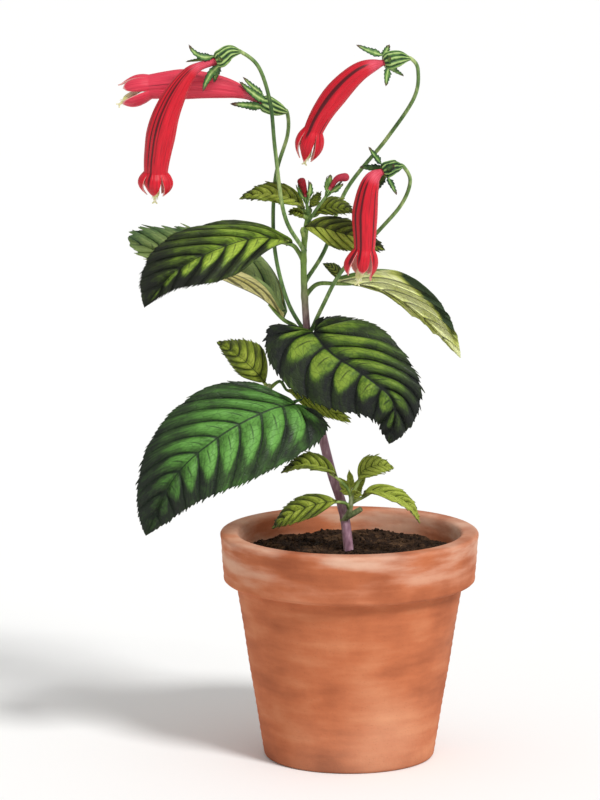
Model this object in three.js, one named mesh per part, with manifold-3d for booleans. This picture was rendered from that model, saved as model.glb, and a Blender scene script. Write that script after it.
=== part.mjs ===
// A Siphocampylus coccineus in a plain clay pot: a flowering house plant with scarlet tubular flowers.
// Millimetres, +Z up. The origin is the centre of the pot's foot, and the plant is seen from -Y.
import * as THREE from 'three';
import { mergeVertices } from 'three/addons/utils/BufferGeometryUtils.js';
import Module from 'manifold-3d';

const wasm = await Module();
wasm.setup();

// Driving dimensions
const POT_HEIGHT = 88;
const POT_RIM_RADIUS = 50;
const POT_RIM_BAND = 20;
const POT_RIM_STEP = 3.4;
const POT_FOOT_RADIUS = 33;
const POT_WALL = 4.2;
const POT_FLOOR = 6;
const POT_SIDES = 32;
const DRAIN_RADIUS = 3;
const DRAIN_CIRCLE = 19;
const DRAIN_HOLES = 3;
const SOIL_BELOW_RIM = 8;
const SOIL_BUMP = 0.7;
const STEM_RADIUS_LOW = 1.95;
const STEM_RADIUS_TOP = 0.95;
const BRANCH_RADIUS = 0.8;
const BLADE_THICKNESS = 0.8;
const RIB_DEPTH = 0.7;
const PETAL_WALL = 0.9;
const SEPAL_WIDTH = 2.4;
const GAP = 0.3;

const COLOURS = {
  clay: 0xb5673f,
  soil: 0x3d2c22,
  stem: 0x8d6f78,
  branch: 0x7d9455,
  leafOld: 0x3f6b2c,
  leafYoung: 0x7f9040,
  petal: 0xc7333b,
  petalPale: 0xdc4f62,
  anther: 0xe8dfb0,
};

const group = new THREE.Group();

// Adds a named piece with its own material. A scrap that a cut leaves loose is dropped.
function add(name, solid, colour, roughness = 0.7) {
  const whole = solid.decompose().reduce((most, body) => (body.volume() > most.volume() ? body : most));
  const mesh = whole.getMesh();
  const geometry = new THREE.BufferGeometry();
  const stride = mesh.numProp;
  const positions = [];
  for (let i = 0; i < mesh.vertProperties.length; i += stride) {
    positions.push(...mesh.vertProperties.slice(i, i + 3));
  }
  geometry.setAttribute('position', new THREE.Float32BufferAttribute(positions, 3));
  geometry.setIndex(Array.from(mesh.triVerts));
  geometry.computeVertexNormals();
  const material = new THREE.MeshStandardMaterial({ color: colour, roughness, metalness: 0 });
  const piece = new THREE.Mesh(geometry, material);
  piece.name = name;
  group.add(piece);
}

// Turns a closed geometry into a solid: shared corners become one, and triangles without area are dropped.
function solidOf(geometry) {
  geometry.deleteAttribute('normal');
  geometry.deleteAttribute('uv');
  const welded = mergeVertices(geometry, 1e-4);
  const index = welded.index.array;
  const position = welded.getAttribute('position');
  const corner = (i) => new THREE.Vector3().fromBufferAttribute(position, i);
  const kept = [];
  let volume = 0;
  for (let i = 0; i < index.length; i += 3) {
    const [a, b, c] = [index[i], index[i + 1], index[i + 2]];
    if (a !== b && b !== c && c !== a) {
      kept.push(a, b, c);
      volume += corner(a).dot(corner(b).cross(corner(c)));
    }
  }
  const triVerts = new Uint32Array(volume < 0 ? kept.reverse() : kept);
  const vertProperties = new Float32Array(position.array);
  return new wasm.Manifold(new wasm.Mesh({ numProp: 3, vertProperties, triVerts }));
}

// A skin collects triangles corner by corner.
class Skin {
  constructor() {
    this.corners = [];
  }

  face(a, b, c) {
    this.corners.push(a, b, c);
  }

  // Two triangles between the edges a-b and d-c.
  quad(a, b, c, d) {
    this.face(a, b, c);
    this.face(a, c, d);
  }

  solid() {
    const geometry = new THREE.BufferGeometry().setFromPoints(this.corners);
    return solidOf(geometry);
  }
}

// Closes rings of equally many points into a solid, with a fan over the first and the last.
function loft(rings) {
  const skin = new Skin();
  const count = rings[0].length;
  const middle = (ring) => ring.reduce((sum, p) => sum.add(p), new THREE.Vector3()).divideScalar(count);
  const first = middle(rings[0]);
  const last = middle(rings.at(-1));
  for (let j = 0; j < count; j++) {
    const k = (j + 1) % count;
    skin.face(first, rings[0][k], rings[0][j]);
    skin.face(last, rings.at(-1)[j], rings.at(-1)[k]);
    for (let i = 1; i < rings.length; i++) {
      skin.quad(rings[i - 1][j], rings[i - 1][k], rings[i][k], rings[i][j]);
    }
  }
  return skin.solid();
}

const vector = (p) => new THREE.Vector3(...p);
const curve = (points) => new THREE.CatmullRomCurve3(points.map(vector), false, 'catmullrom', 0.5);

// A value read off a smooth line through the points [place, value], whose places run from 0 to 1.
function profile(points, place) {
  const line = curve(points.map(([x, y]) => [x, y, 0]));
  let [low, high] = [0, 1];
  for (let i = 0; i < 24; i++) {
    const half = (low + high) / 2;
    if (line.getPoint(half).x < place) low = half;
    else high = half;
  }
  return line.getPoint(low).y;
}

// A curve with frames that don't twist, so that rings can stand on it. u runs from 0 to 1 by length,
// and a place beyond either end lies straight on.
class Spine {
  constructor(points) {
    this.steps = 60;
    this.curve = curve(points);
    this.length = this.curve.getLength();
    this.frames = this.curve.computeFrenetFrames(this.steps);
  }

  at(u) {
    const inside = THREE.MathUtils.clamp(u, 0, 1);
    const i = Math.round(inside * this.steps);
    const along = this.frames.tangents[i];
    const point = this.curve.getPointAt(inside).addScaledVector(along, (u - inside) * this.length);
    return { point, along, side: this.frames.normals[i], up: this.frames.binormals[i] };
  }

  around(u, angle, radius) {
    const { point, side, up } = this.at(u);
    point.addScaledVector(side, radius * Math.cos(angle));
    return point.addScaledVector(up, radius * Math.sin(angle));
  }
}

// A round stem along a curve. Its radius is read off a profile from the first end to the last.
function stalk(points, radii, { sides = 6, steps = 12, grow = 0 } = {}) {
  const spine = new Spine(points);
  const rings = [];
  for (let i = 0; i <= steps; i++) {
    const u = i / steps;
    const radius = profile(radii, u) + grow;
    rings.push(Array.from({ length: sides }, (_, j) => spine.around(u, (j / sides) * 2 * Math.PI, radius)));
  }
  return loft(rings);
}

// The pot, thrown on its axis: a tapered wall, a rim band that stands proud, and holes in the floor.
const SHOULDER = POT_HEIGHT - POT_RIM_BAND;
const wallTaper = (POT_RIM_RADIUS - POT_RIM_STEP - POT_FOOT_RADIUS) / POT_HEIGHT;
const outerRadius = (z) => POT_FOOT_RADIUS + wallTaper * z + 0.6;
const innerRadius = (z) => outerRadius(z) - POT_WALL;

function turned(points, sides) {
  const outline = points.map(([radius, z]) => new THREE.Vector2(radius, z));
  return new THREE.LatheGeometry(outline, sides).rotateX(Math.PI / 2);
}

const lip = 1.5;
let pot = solidOf(turned([
  [0, 0],
  [POT_FOOT_RADIUS - 1, 0],
  [POT_FOOT_RADIUS, 1],
  [outerRadius(SHOULDER) - 0.3, SHOULDER],
  [POT_RIM_RADIUS - 1.4, SHOULDER + 0.6],
  [POT_RIM_RADIUS, POT_HEIGHT - lip],
  [POT_RIM_RADIUS - lip, POT_HEIGHT],
  [innerRadius(POT_HEIGHT) + lip, POT_HEIGHT],
  [innerRadius(POT_HEIGHT - lip), POT_HEIGHT - lip],
  [innerRadius(POT_FLOOR + 3), POT_FLOOR + 3],
  [innerRadius(POT_FLOOR) - 3, POT_FLOOR],
  [0, POT_FLOOR],
], POT_SIDES));
for (let i = 0; i < DRAIN_HOLES; i++) {
  const angle = ((i + 0.5) / DRAIN_HOLES) * 2 * Math.PI;
  const hole = new THREE.CylinderGeometry(DRAIN_RADIUS, DRAIN_RADIUS, POT_FLOOR * 3, 12);
  hole.rotateX(Math.PI / 2);
  hole.translate(DRAIN_CIRCLE * Math.cos(angle), DRAIN_CIRCLE * Math.sin(angle), 0);
  pot = pot.subtract(solidOf(hole));
}
add('pot', pot, COLOURS.clay, 0.85);

// The main stem stands 25 mm deep in the soil, leans to the left and straightens.
const MAIN_STEM = [
  [0.4, 0, 55],
  [0.3, 0, 70],
  [-0.5, 0, 82.7],
  [-2.6, 1, 97],
  [-7.2, 2, 111.5],
  [-12.1, 3, 132.8],
  [-15.6, 2, 157.9],
  [-17.4, 1, 182.3],
  [-17.4, 0, 199.1],
  [-15.6, -1, 211.8],
];
const STEM_TAPER = [[0, STEM_RADIUS_LOW], [0.45, 1.75], [0.75, 1.35], [1, STEM_RADIUS_TOP]];
const STEM_SHAPE = { sides: 8, steps: 30 };
add('main_stem', stalk(MAIN_STEM, STEM_TAPER, STEM_SHAPE), COLOURS.stem);
const stemRoom = stalk(MAIN_STEM, STEM_TAPER, { ...STEM_SHAPE, grow: GAP });

// The soil fills the pot, a little uneven on top, with a hole for the stem.
const SOIL_TOP = POT_HEIGHT - SOIL_BELOW_RIM;
const soilSkin = turned([
  [0, POT_FLOOR + GAP],
  [innerRadius(POT_FLOOR) - 3 - GAP, POT_FLOOR + GAP],
  [innerRadius(POT_FLOOR + 3) - GAP - 0.2, POT_FLOOR + 3],
  [innerRadius(SOIL_TOP) - GAP - 0.3, SOIL_TOP - 0.6],
  [innerRadius(SOIL_TOP) - 9, SOIL_TOP],
  [innerRadius(SOIL_TOP) - 18, SOIL_TOP],
  [innerRadius(SOIL_TOP) - 28, SOIL_TOP],
  [6, SOIL_TOP],
  [0, SOIL_TOP],
], POT_SIDES);
const soilPoints = soilSkin.getAttribute('position');
for (let i = 0; i < soilPoints.count; i++) {
  const p = new THREE.Vector3().fromBufferAttribute(soilPoints, i);
  if (p.z > SOIL_TOP - 0.1) {
    p.z += SOIL_BUMP * Math.sin(0.31 * p.x + 1) * Math.cos(0.27 * p.y);
    p.z += SOIL_BUMP * 0.6 * Math.sin(0.7 * p.x + 0.9 * p.y);
    soilPoints.setXYZ(i, p.x, p.y, p.z);
  }
}
add('soil', solidOf(soilSkin).subtract(stemRoom), COLOURS.soil, 0.95);

// A leaf is laid out on its rib. An outline runs from the stalk to the tip as [along, across]: along in
// lengths of the rib, across in half widths. Heart-shaped leaves reach back past the stalk.
const HEART = [
  [0, 0],
  [-0.07, 0.26],
  [-0.03, 0.6],
  [0.13, 0.9],
  [0.36, 1],
  [0.6, 0.82],
  [0.82, 0.42],
  [0.94, 0.14],
  [1, 0],
];
const WEDGE = [
  [0, 0],
  [0.06, 0.2],
  [0.19, 0.62],
  [0.4, 0.98],
  [0.62, 0.86],
  [0.82, 0.46],
  [0.94, 0.16],
  [1, 0],
];

// The half width of a blade is a vector that turns along the rib: it is given once, or where the rib
// is at 0, 0.4 and 0.8 of its length, with a parabola between.
function halfWidth(widths, along) {
  if (widths.length === 1) return vector(widths[0]);
  const a = THREE.MathUtils.clamp(along, -0.05, 1);
  const shares = [
    ((a - 0.4) * (a - 0.8)) / 0.32,
    (a * (a - 0.8)) / -0.16,
    (a * (a - 0.4)) / 0.32,
  ];
  const sum = new THREE.Vector3();
  widths.forEach((width, i) => sum.addScaledVector(vector(width), shares[i]));
  return sum;
}

// A blade: rows follow the side veins from the rib to the cut edge, every third row is a vein that lies
// lower than the panels between, and each stretch of edge ends in a tooth that points to the tip.
function blade({ outline, rib, left, right, rows, columns }) {
  const spine = new Spine(rib);
  const edge = curve(outline.map(([along, across]) => [along, across, 0]));
  const skin = new Skin();

  const place = (widths, turn, row, s, pad = 0) => {
    const { x: along, y: across } = edge.getPoint(row / rows);
    const reach = Math.max(across, 0) * s;
    const root = THREE.MathUtils.clamp(along - 0.25 * across, 0, 1);
    const a = root + (along - root) * (0.55 * s + 0.45 * s * s);
    const { point, along: ahead } = spine.at(a);
    const width = halfWidth(widths, a);
    const across0 = halfWidth(left, a).normalize().sub(halfWidth(right, a).normalize());
    const face0 = ahead.clone().cross(across0).normalize();
    const face1 = ahead.clone().cross(width).normalize().multiplyScalar(turn);
    const normal = face0.lerp(face1, Math.min(1, reach * 4)).normalize();
    const arch = 4 * s * (1 - s) * Math.max(across, 0);
    const quilt = row % 3 === 0 ? -0.045 : 0.035;
    point.addScaledVector(width, reach);
    point.addScaledVector(normal, width.length() * arch * (0.07 + quilt));
    const keel = pad < 0 ? RIB_DEPTH * Math.max(0, 1 - s * columns) * (1 - 0.7 * a) : 0;
    return point.addScaledVector(normal, pad * (BLADE_THICKNESS / 2 + keel));
  };

  for (const [widths, turn] of [[left, 1], [right, -1]]) {
    for (let i = 0; i < rows; i++) {
      const corner = (row, column, pad) => place(widths, turn, row, column / columns, pad);
      for (const pad of [1, -1]) {
        for (let j = 0; j < columns; j++) {
          const [a, b] = [corner(i, j, pad), corner(i + 1, j, pad)];
          const [c, d] = [corner(i + 1, j + 1, pad), corner(i, j + 1, pad)];
          if (pad * turn > 0) skin.quad(a, b, c, d);
          else {
            skin.face(a, c, b);
            skin.face(a, d, c);
          }
        }
      }
      const toothed = i > 0 && i < rows - 1;
      const rim = [1, -1].map((pad) => {
        const [near, far] = [corner(i, columns, pad), corner(i + 1, columns, pad)];
        const out = far.clone().sub(corner(i + 1, columns - 1, pad)).normalize();
        const tip = near.clone().lerp(far, 0.8).addScaledVector(out, 0.3 * near.distanceTo(far));
        return { near, far, tip };
      });
      const [top, under] = turn > 0 ? rim : [rim[1], rim[0]];
      if (toothed) {
        skin.face(top.near, top.far, top.tip);
        skin.face(under.near, under.tip, under.far);
        skin.quad(top.near, top.tip, under.tip, under.near);
        skin.quad(top.tip, top.far, under.far, under.tip);
      } else {
        skin.quad(top.near, top.far, under.far, under.near);
      }
    }
  }
  return skin.solid();
}

// A leaf with its stalk, which runs on a little under the blade.
function leaf({ stem, thick = 0.9, rib, ...shape }) {
  const spine = new Spine(rib);
  const end = spine.at(0.1).point;
  const stalkPoints = [...stem, rib[0], end.toArray()];
  const taper = [[0, thick], [0.7, thick * 0.85], [1, 0.45]];
  return blade({ rib, ...shape }).add(stalk(stalkPoints, taper, { sides: 5, steps: 5 }));
}

const LARGE = { rows: 21, columns: 3 };
const NARROW = { rows: 21, columns: 2 };
const SMALL = { rows: 9, columns: 2 };

const leaves = {
  leaf_low_left: {
    ...LARGE,
    outline: HEART,
    thick: 1.2,
    stem: [[-11.9, 3, 130.8], [-15.4, -7.4, 134.6]],
    rib: [[-21, -12, 139.7], [-31.7, -19, 138.2], [-49.1, -27, 130], [-65.9, -31, 115.4], [-77.4, -27, 91.4]],
    left: [[14.9, -3, -17.6], [10.1, -6, -16.3], [14.8, -4, -10.1]],
    right: [[-7.5, 3, 4], [-9, 8, 15.1], [-19.7, 5, 9.3]],
  },
  leaf_front_right: {
    ...LARGE,
    outline: HEART,
    thick: 1.1,
    stem: [[-15.8, 1.8, 160], [-15.2, -4, 164]],
    rib: [[-13.8, -9, 166.7], [-6.8, -19, 160.2], [5.9, -27, 152.8], [16.2, -31, 143.1], [14.5, -27, 126.7]],
    left: [[12, 6, 6.9], [11.3, 9, 12.3], [18.4, 5, 2.1]],
    right: [[-26.3, 4, -3.1], [-15.3, 3, -13.1], [-13.2, 4, -6.7]],
  },
  leaf_mid_left: {
    ...LARGE,
    outline: WEDGE,
    stem: [[-17.4, 0.7, 192.2], [-19.8, 1, 196.4]],
    rib: [[-21.6, 1, 199.8], [-34, -8, 202.9], [-48.8, -17, 200.3], [-65.8, -22, 192.1], [-77.7, -20, 177.7]],
    left: [[0.9, -3, -3.2], [2.5, -8, -10.2], [5.4, -4, -6.8]],
    right: [[-0.9, 4, 1.8], [-2.2, 8, 7.8], [-14.9, 5, 11.8]],
  },
  leaf_back_left: {
    ...NARROW,
    outline: WEDGE,
    stem: [[-16.1, 2, 161.6], [-20.7, 6, 166.4]],
    rib: [[-24.6, 5, 170.5], [-33.1, 12, 177.3], [-47.3, 22, 182.5], [-67.2, 30, 189.6], [-85.7, 33, 196.2]],
    left: [[1.8, -4, 3.1], [2, -12, 6], [-2.8, -8, -6.5]],
    right: [[4.8, 5, 3.5], [10.8, 12, 9.3], [-4.6, 6, 17.6]],
  },
  leaf_right_arching: {
    ...NARROW,
    outline: WEDGE,
    stem: [[-17.3, 1, 178.9], [-12.6, 2, 183.4]],
    rib: [[-6.6, 5, 184.4], [8.5, 12, 181.9], [19.7, 17, 175.9], [32.2, 20, 165.4], [43.1, 18, 152.5]],
    left: [[-0.3, 2, -1.5], [-1.2, 6, -2.9], [-2.8, 5, -3.1]],
    right: [[1.5, -3, 4.1], [3.6, -6, 8.2], [8.4, -6, 8.2]],
  },
  leaf_top_right: {
    ...SMALL,
    rows: 12,
    outline: WEDGE,
    stem: [[-17.2, -0.2, 201.4], [-18.2, -3, 205]],
    rib: [[-17.4, -4, 206.5], [-11.5, -7, 206.9], [-4.4, -9, 205.1], [5.1, -9, 202.4], [13.5, -7, 198]],
    left: [[1.2, 4, 4.8]],
    right: [[-1.2, -4, -5.7]],
  },
  leaf_top_left: {
    ...SMALL,
    rows: 12,
    outline: WEDGE,
    stem: [[-16, -0.8, 209.2], [-17.2, 0.4, 211.4]],
    rib: [[-16.9, 1, 213], [-21.6, -2, 216.8], [-28.7, -5, 219], [-35.2, -6, 219.1], [-42.1, -5, 217.5]],
    left: [[0.6, -5, -2.6]],
    right: [[0, 5, 3.8]],
  },
  leaf_top_folded: {
    ...SMALL,
    columns: 1,
    outline: WEDGE,
    stem: [[-16, -0.8, 209.2]],
    rib: [[-17.6, -2.6, 210.6], [-19.2, -4.4, 212.2], [-21.2, -5.4, 212.8], [-23.4, -5.6, 212.2]],
    left: [[0.6, -2, -2.1]],
    right: [[0.3, -2, 1.2]],
  },
  leaf_top_young: {
    ...SMALL,
    outline: WEDGE,
    stem: [[-16.3, -0.6, 206.8], [-15.3, 0.4, 209.6]],
    rib: [[-14, 0, 211], [-10.3, -1.6, 213.1], [-5, -4, 213.7], [1.3, -6, 212.5]],
    left: [[0.6, 4, 3.4]],
    right: [[-0.3, -3, -2.3]],
  },
  leaf_tip: {
    ...SMALL,
    rows: 7,
    columns: 1,
    outline: WEDGE,
    thick: 0.7,
    stem: [[-15.6, -1, 211.2], [-15, 0.4, 212.2]],
    rib: [[-14.9, 1.2, 213], [-14, 2.6, 214.8], [-13, 3, 216.6], [-11.8, 2.4, 218.6]],
    left: [[-1.2, -1, 0.7]],
    right: [[1.8, 1, -0.7]],
  },
};
const YOUNG = ['leaf_top_right', 'leaf_top_left', 'leaf_top_folded', 'leaf_top_young', 'leaf_tip'];
for (const [name, shape] of Object.entries(leaves)) {
  const colour = YOUNG.includes(name) ? COLOURS.leafYoung : COLOURS.leafOld;
  let solid = leaf(shape);
  if (name === 'leaf_right_arching') {
    // A small lobe stands back from the foot of this leaf.
    solid = solid.add(blade({
      ...SMALL,
      rows: 5,
      columns: 1,
      outline: WEDGE,
      rib: [[-4.6, 5.8, 184.2], [-4.2, 7.4, 186.4], [-6.6, 8, 189], [-10.5, 7.6, 190.8]],
      left: [[1.5, 0.4, 1.5]],
      right: [[-1.5, -0.4, -1.5]],
    }));
  }
  add(name, solid.subtract(stemRoom), colour);
}

// Two short side shoots carry smaller leaves. The stub of a cut stalk stands on the lower one, and
// its tip holds four leaves that are still opening.
const SIDE_SHOOT = [
  [-11.6, 2.9, 128.1],
  [-18, 4, 129.2],
  [-26.1, 4, 133.2],
  [-31.5, 1, 139.2],
  [-30.6, -2, 145.2],
];
const BASE_SHOOT = [[-2.3, 0.8, 92], [-0.4, -3, 95.1], [0.6, -6, 100.8], [0.6, -7, 105.6]];
const SHOOT_TAPER = [[0, 1.2], [1, 0.9]];
const sideShoot = stalk(SIDE_SHOOT, SHOOT_TAPER, { sides: 6, steps: 12 });
const sideRoom = stalk(SIDE_SHOOT, SHOOT_TAPER, { sides: 6, steps: 12, grow: GAP });
add('side_shoot', sideShoot.subtract(stemRoom), COLOURS.branch);

let baseShoot = stalk(BASE_SHOOT, SHOOT_TAPER, { sides: 6, steps: 8 });
const baseRoom = stalk(BASE_SHOOT, SHOOT_TAPER, { sides: 6, steps: 8, grow: GAP });
const STUB = [[-1.2, -1.8, 93.6], [1.6, -3, 95.4], [4.4, -4.4, 97.4]];
baseShoot = baseShoot.add(stalk(STUB, [[0, 1.2], [1, 1.1]], { steps: 2 }));
const BUDDING = [
  {
    rib: [[0.5, -6.9, 104.8], [0.4, -6.6, 107.6], [0.1, -6.6, 110.6], [-0.3, -7, 113.4]],
    side: [1, 0.5, 0],
  },
  {
    rib: [[0.4, -6.6, 104], [-1.4, -6, 106.2], [-3, -5.6, 108.2], [-4.2, -5.4, 109.9]],
    side: [0.9, 0, 1],
  },
  {
    rib: [[0.8, -6.6, 104.2], [2.8, -5.4, 106.2], [4.6, -4.8, 108.2], [6.3, -4.6, 109.9]],
    side: [0.9, 0, -1],
  },
  {
    rib: [[0.6, -5, 101], [2.4, -2.8, 102.8], [3.8, -1.8, 104.4], [5.1, -1.4, 105.8]],
    side: [0.9, 0, -1],
  },
];
for (const { rib, side } of BUDDING) {
  const right = [side];
  const left = [[-side[0], side[1], -side[2]]];
  baseShoot = baseShoot.add(blade({ rows: 4, columns: 1, outline: WEDGE, rib, left, right }));
}
add('base_shoot', baseShoot.subtract(stemRoom), COLOURS.branch);

const shootLeaves = {
  leaf_side_left: {
    room: sideRoom,
    stem: [[-30.9, -1.2, 143.6]],
    rib: [[-32.2, -2, 146.1], [-36.5, -5, 151.5], [-43.1, -8, 158.1], [-50.5, -10, 163.2]],
    left: [[-3, -2, -3.9]],
    right: [[5.4, 3, 5.6]],
  },
  leaf_side_right: {
    room: sideRoom,
    stem: [[-30.8, -1.2, 143.6], [-26.7, -2, 146.6]],
    rib: [[-24, -3, 143.7], [-17.1, -3, 140.4], [-8.1, -4, 136], [0.6, -5, 131.2]],
    left: [[1.5, 2, 3.6]],
    right: [[-0.9, -1, -3.2]],
  },
  leaf_base_upper_left: {
    room: baseRoom,
    stem: [[0.6, -6.2, 102.1], [-1.2, -8.4, 106.6]],
    rib: [[-4.8, -9.6, 111.6], [-10.2, -11, 114.6], [-18, -13, 116.2], [-26.4, -13, 113.5]],
    left: [[0, -7, -0.2]],
    right: [[0.6, 4, 4.1]],
  },
  leaf_base_lower_left: {
    room: baseRoom,
    stem: [[0, -4.4, 97.4], [-1.5, -7, 100.1]],
    rib: [[-4.8, -9, 101.7], [-13.2, -13, 101], [-22.2, -15, 98.1], [-30, -14, 91.8]],
    left: [[1.2, -4, -3.8]],
    right: [[-0.9, 4, 3.5]],
  },
  leaf_base_upper_right: {
    room: baseRoom,
    stem: [[0.6, -6.6, 103.4], [2, -8.4, 106]],
    rib: [[3, -9, 109.6], [5.3, -9, 113.6], [10.7, -10, 115.7], [17, -9, 114.5]],
    left: [[-1.2, 3, 3.1]],
    right: [[1.2, -3, -3.1]],
  },
  leaf_base_lower_right: {
    room: baseRoom,
    stem: [[0.6, -5.6, 100]],
    rib: [[4.4, -7.4, 103.3], [9.2, -9, 105.4], [17.3, -10, 103.2], [23.3, -9, 99], [27.3, -7, 92.5]],
    left: [[0.9, 3, 2.8]],
    right: [[-0.7, -4, -1]],
  },
};
for (const [name, { room, ...shape }] of Object.entries(shootLeaves)) {
  const solid = leaf({ ...SMALL, outline: WEDGE, thick: 0.7, ...shape });
  add(name, solid.subtract(room).subtract(stemRoom), COLOURS.leafYoung);
}

// A flower hangs from an arching stalk. Its centre line runs through the ribbed ovary and the tube.
const OVARY_LENGTH = 9;
const OVARY_RIBS = 10;
const TUBE_SHAPE = [
  [0, 1.4],
  [0.12, 1.6],
  [0.22, 2.6],
  [0.35, 3.8],
  [0.5, 4.7],
  [0.7, 5.5],
  [0.85, 5.1],
  [1, 4.5],
];
const LOBE_LENGTH = 8.5;
const LOBE_COLUMNS = 4;
const LOBE_REACH = [0.05, 0.75, 1, 0.75];
const STAMEN_RADIUS = 1.1;
const SOCKET_DEPTH = 10;

// The scarlet tube: narrow at the neck, wide before the mouth, and cut into five pointed lobes.
// It is hollow behind the mouth, and the stamens stand in a socket there.
function corolla(spine, start, size, flare) {
  const columns = 5 * LOBE_COLUMNS;
  const lobe = (LOBE_LENGTH * size) / spine.length;
  const mouth = 1 - lobe;
  const lobeShape = [[0, 4.5], [0.4, 6.2 * flare], [0.75, 5.4 * flare ** 2], [1, 3.6 * flare ** 3]];
  const ring = (placeAt, radiusAt) =>
    Array.from({ length: columns }, (_, j) => {
      const reach = LOBE_REACH[j % LOBE_COLUMNS];
      return spine.around(placeAt(reach), (j / columns) * 2 * Math.PI, radiusAt(reach) * size);
    });
  const tubeRing = (share, thinner) =>
    ring(() => start + (mouth - start) * share, () => profile(TUBE_SHAPE, share) - thinner);
  const lobeRing = (share, thinner) =>
    ring((reach) => mouth + lobe * reach * share, (reach) => profile(lobeShape, reach * share) - thinner);
  const socket = (depth, radius) => ring(() => mouth - depth / spine.length, () => radius / size);
  return loft([
    ...[0, 0.12, 0.24, 0.38, 0.53, 0.7, 0.86, 1].map((share) => tubeRing(share, 0)),
    ...[0.35, 0.7, 1].map((share) => lobeRing(share, 0)),
    ...[0.97, 0.4].map((share) => lobeRing(share, PETAL_WALL / size)),
    tubeRing(0.96, PETAL_WALL / size),
    socket(SOCKET_DEPTH, STAMEN_RADIUS + GAP),
  ]);
}

// The stamens are joined in one column round the style, which shows at the mouth.
function stamens(spine, size, past) {
  const foot = 1 - (LOBE_LENGTH * size + SOCKET_DEPTH - GAP) / spine.length;
  const end = 1 + past / spine.length;
  const shape = [[0, STAMEN_RADIUS], [0.6, 1.2], [0.84, 1.7], [0.9, 0.8], [1, 0.5]];
  const rings = [0, 0.35, 0.6, 0.74, 0.84, 0.9, 1].map((share) => {
    const radius = share < 0.5 ? STAMEN_RADIUS : profile(shape, share);
    const place = foot + (end - foot) * share;
    return Array.from({ length: 8 }, (_, j) => spine.around(place, (j / 4) * Math.PI, radius));
  });
  return loft(rings);
}

// A sepal is a narrow strip that leaves the ovary's rim and bends outward.
function sepal(spine, place, angle, { foot, length, lean, bend }) {
  const { point: middle, along } = spine.at(place);
  const out = spine.around(place, angle, 1).sub(middle).normalize();
  const flat = along.clone().cross(out);
  const point = spine.around(place, angle, foot);
  const steps = 4;
  const rings = [];
  for (let i = 0; i <= steps; i++) {
    const turn = THREE.MathUtils.degToRad(lean + (bend * i) / steps);
    const ahead = along.clone().multiplyScalar(Math.cos(turn)).addScaledVector(out, Math.sin(turn));
    const face = out.clone().multiplyScalar(Math.cos(turn)).addScaledVector(along, -Math.sin(turn));
    const saw = i % 2 === 0 ? 0.85 : 1.15;
    const half = (SEPAL_WIDTH / 2) * saw * (1 - 0.75 * (i / steps) ** 2);
    rings.push([[half, -0.2], [0, 0.5], [-half, -0.2]].map(([x, y]) =>
      point.clone().addScaledVector(flat, x).addScaledVector(face, y)));
    point.addScaledVector(ahead, length / steps);
  }
  return loft(rings);
}

// The ovary widens to a rim under the five sepals.
function calyx(spine, length, size, sepals) {
  const share = length / spine.length;
  const sides = OVARY_RIBS * 2;
  const rings = [0, 0.35, 0.85, 1].map((step, i) => {
    const radius = [0.8, 1.8, 2.6, 2][i] * size;
    return Array.from({ length: sides }, (_, j) =>
      spine.around(share * step, (j / sides) * 2 * Math.PI, radius * (j % 2 === 0 ? 1.07 : 0.93)));
  });
  let solid = loft(rings);
  for (let i = 0; i < 5; i++) {
    const angle = ((i + 0.5) / 5) * 2 * Math.PI;
    solid = solid.add(sepal(spine, share * 0.88, angle, { foot: 1.7 * size, ...sepals }));
  }
  return solid;
}

const flowers = [
  {
    size: 1,
    flare: 1,
    sepals: { length: 10.5, lean: 30, bend: 45 },
    stem: [
      [-17.3, -0.4, 196.5],
      [-24.8, -10, 211.5],
      [-28.3, -17, 237.1],
      [-30.1, -21, 255.3],
      [-34.4, -25, 269.3],
    ],
    bloom: [
      [-41.1, -27, 275.3],
      [-45.4, -28, 275.1],
      [-49.5, -29, 272.3],
      [-59.7, -31, 267.9],
      [-68.2, -32, 253.6],
      [-72.1, -30, 236.7],
      [-73.1, -28, 221.7],
    ],
  },
  {
    size: 1.04,
    flare: 1.06,
    sepals: { length: 11.5, lean: 16, bend: 14 },
    stem: [
      [-16.2, 1.9, 163.4],
      [-24, 2, 177.6],
      [-28.8, 2, 198.8],
      [-28.4, 3, 223.6],
      [-23.7, -3, 241.4],
    ],
    bloom: [
      [-23.9, -9, 250.7],
      [-28.3, -11, 252.4],
      [-32.8, -12, 254.6],
      [-43.9, -14, 259.6],
      [-59.8, -16, 261.8],
      [-74.4, -16, 261],
      [-85.7, -14, 259],
    ],
  },
  {
    size: 0.82,
    flare: 1,
    sepals: { length: 9, lean: 78, bend: 25 },
    stem: [
      [-17.3, 1, 184.2],
      [-9.3, 7, 196.5],
      [-1.6, 9, 218.3],
      [13.8, 0, 239.5],
      [23.9, -10, 256.2],
      [25.2, -14, 267.2],
    ],
    bloom: [
      [22.5, -16, 271.6],
      [18.1, -17, 271.7],
      [13.3, -18, 270.6],
      [3.1, -20, 267],
      [-6.6, -20, 257.3],
      [-13.3, -19, 246.3],
      [-16.9, -17, 233.6],
    ],
  },
  {
    size: 0.87,
    flare: 1.1,
    sepals: { length: 9, lean: 80, bend: 30 },
    stem: [
      [-16, 1.9, 162.6],
      [-10.3, -3, 176],
      [-3.2, -10, 190.3],
      [10, -16, 205.8],
      [19.1, -18, 216.8],
      [22.3, -21, 226.1],
    ],
    bloom: [
      [19.5, -24, 232.1],
      [17.2, -25, 231.9],
      [14.8, -26, 231.5],
      [8, -28, 227.6],
      [5.4, -28, 216.4],
      [5.2, -27, 202.9],
      [4.3, -26, 190.9],
    ],
  },
];
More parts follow.
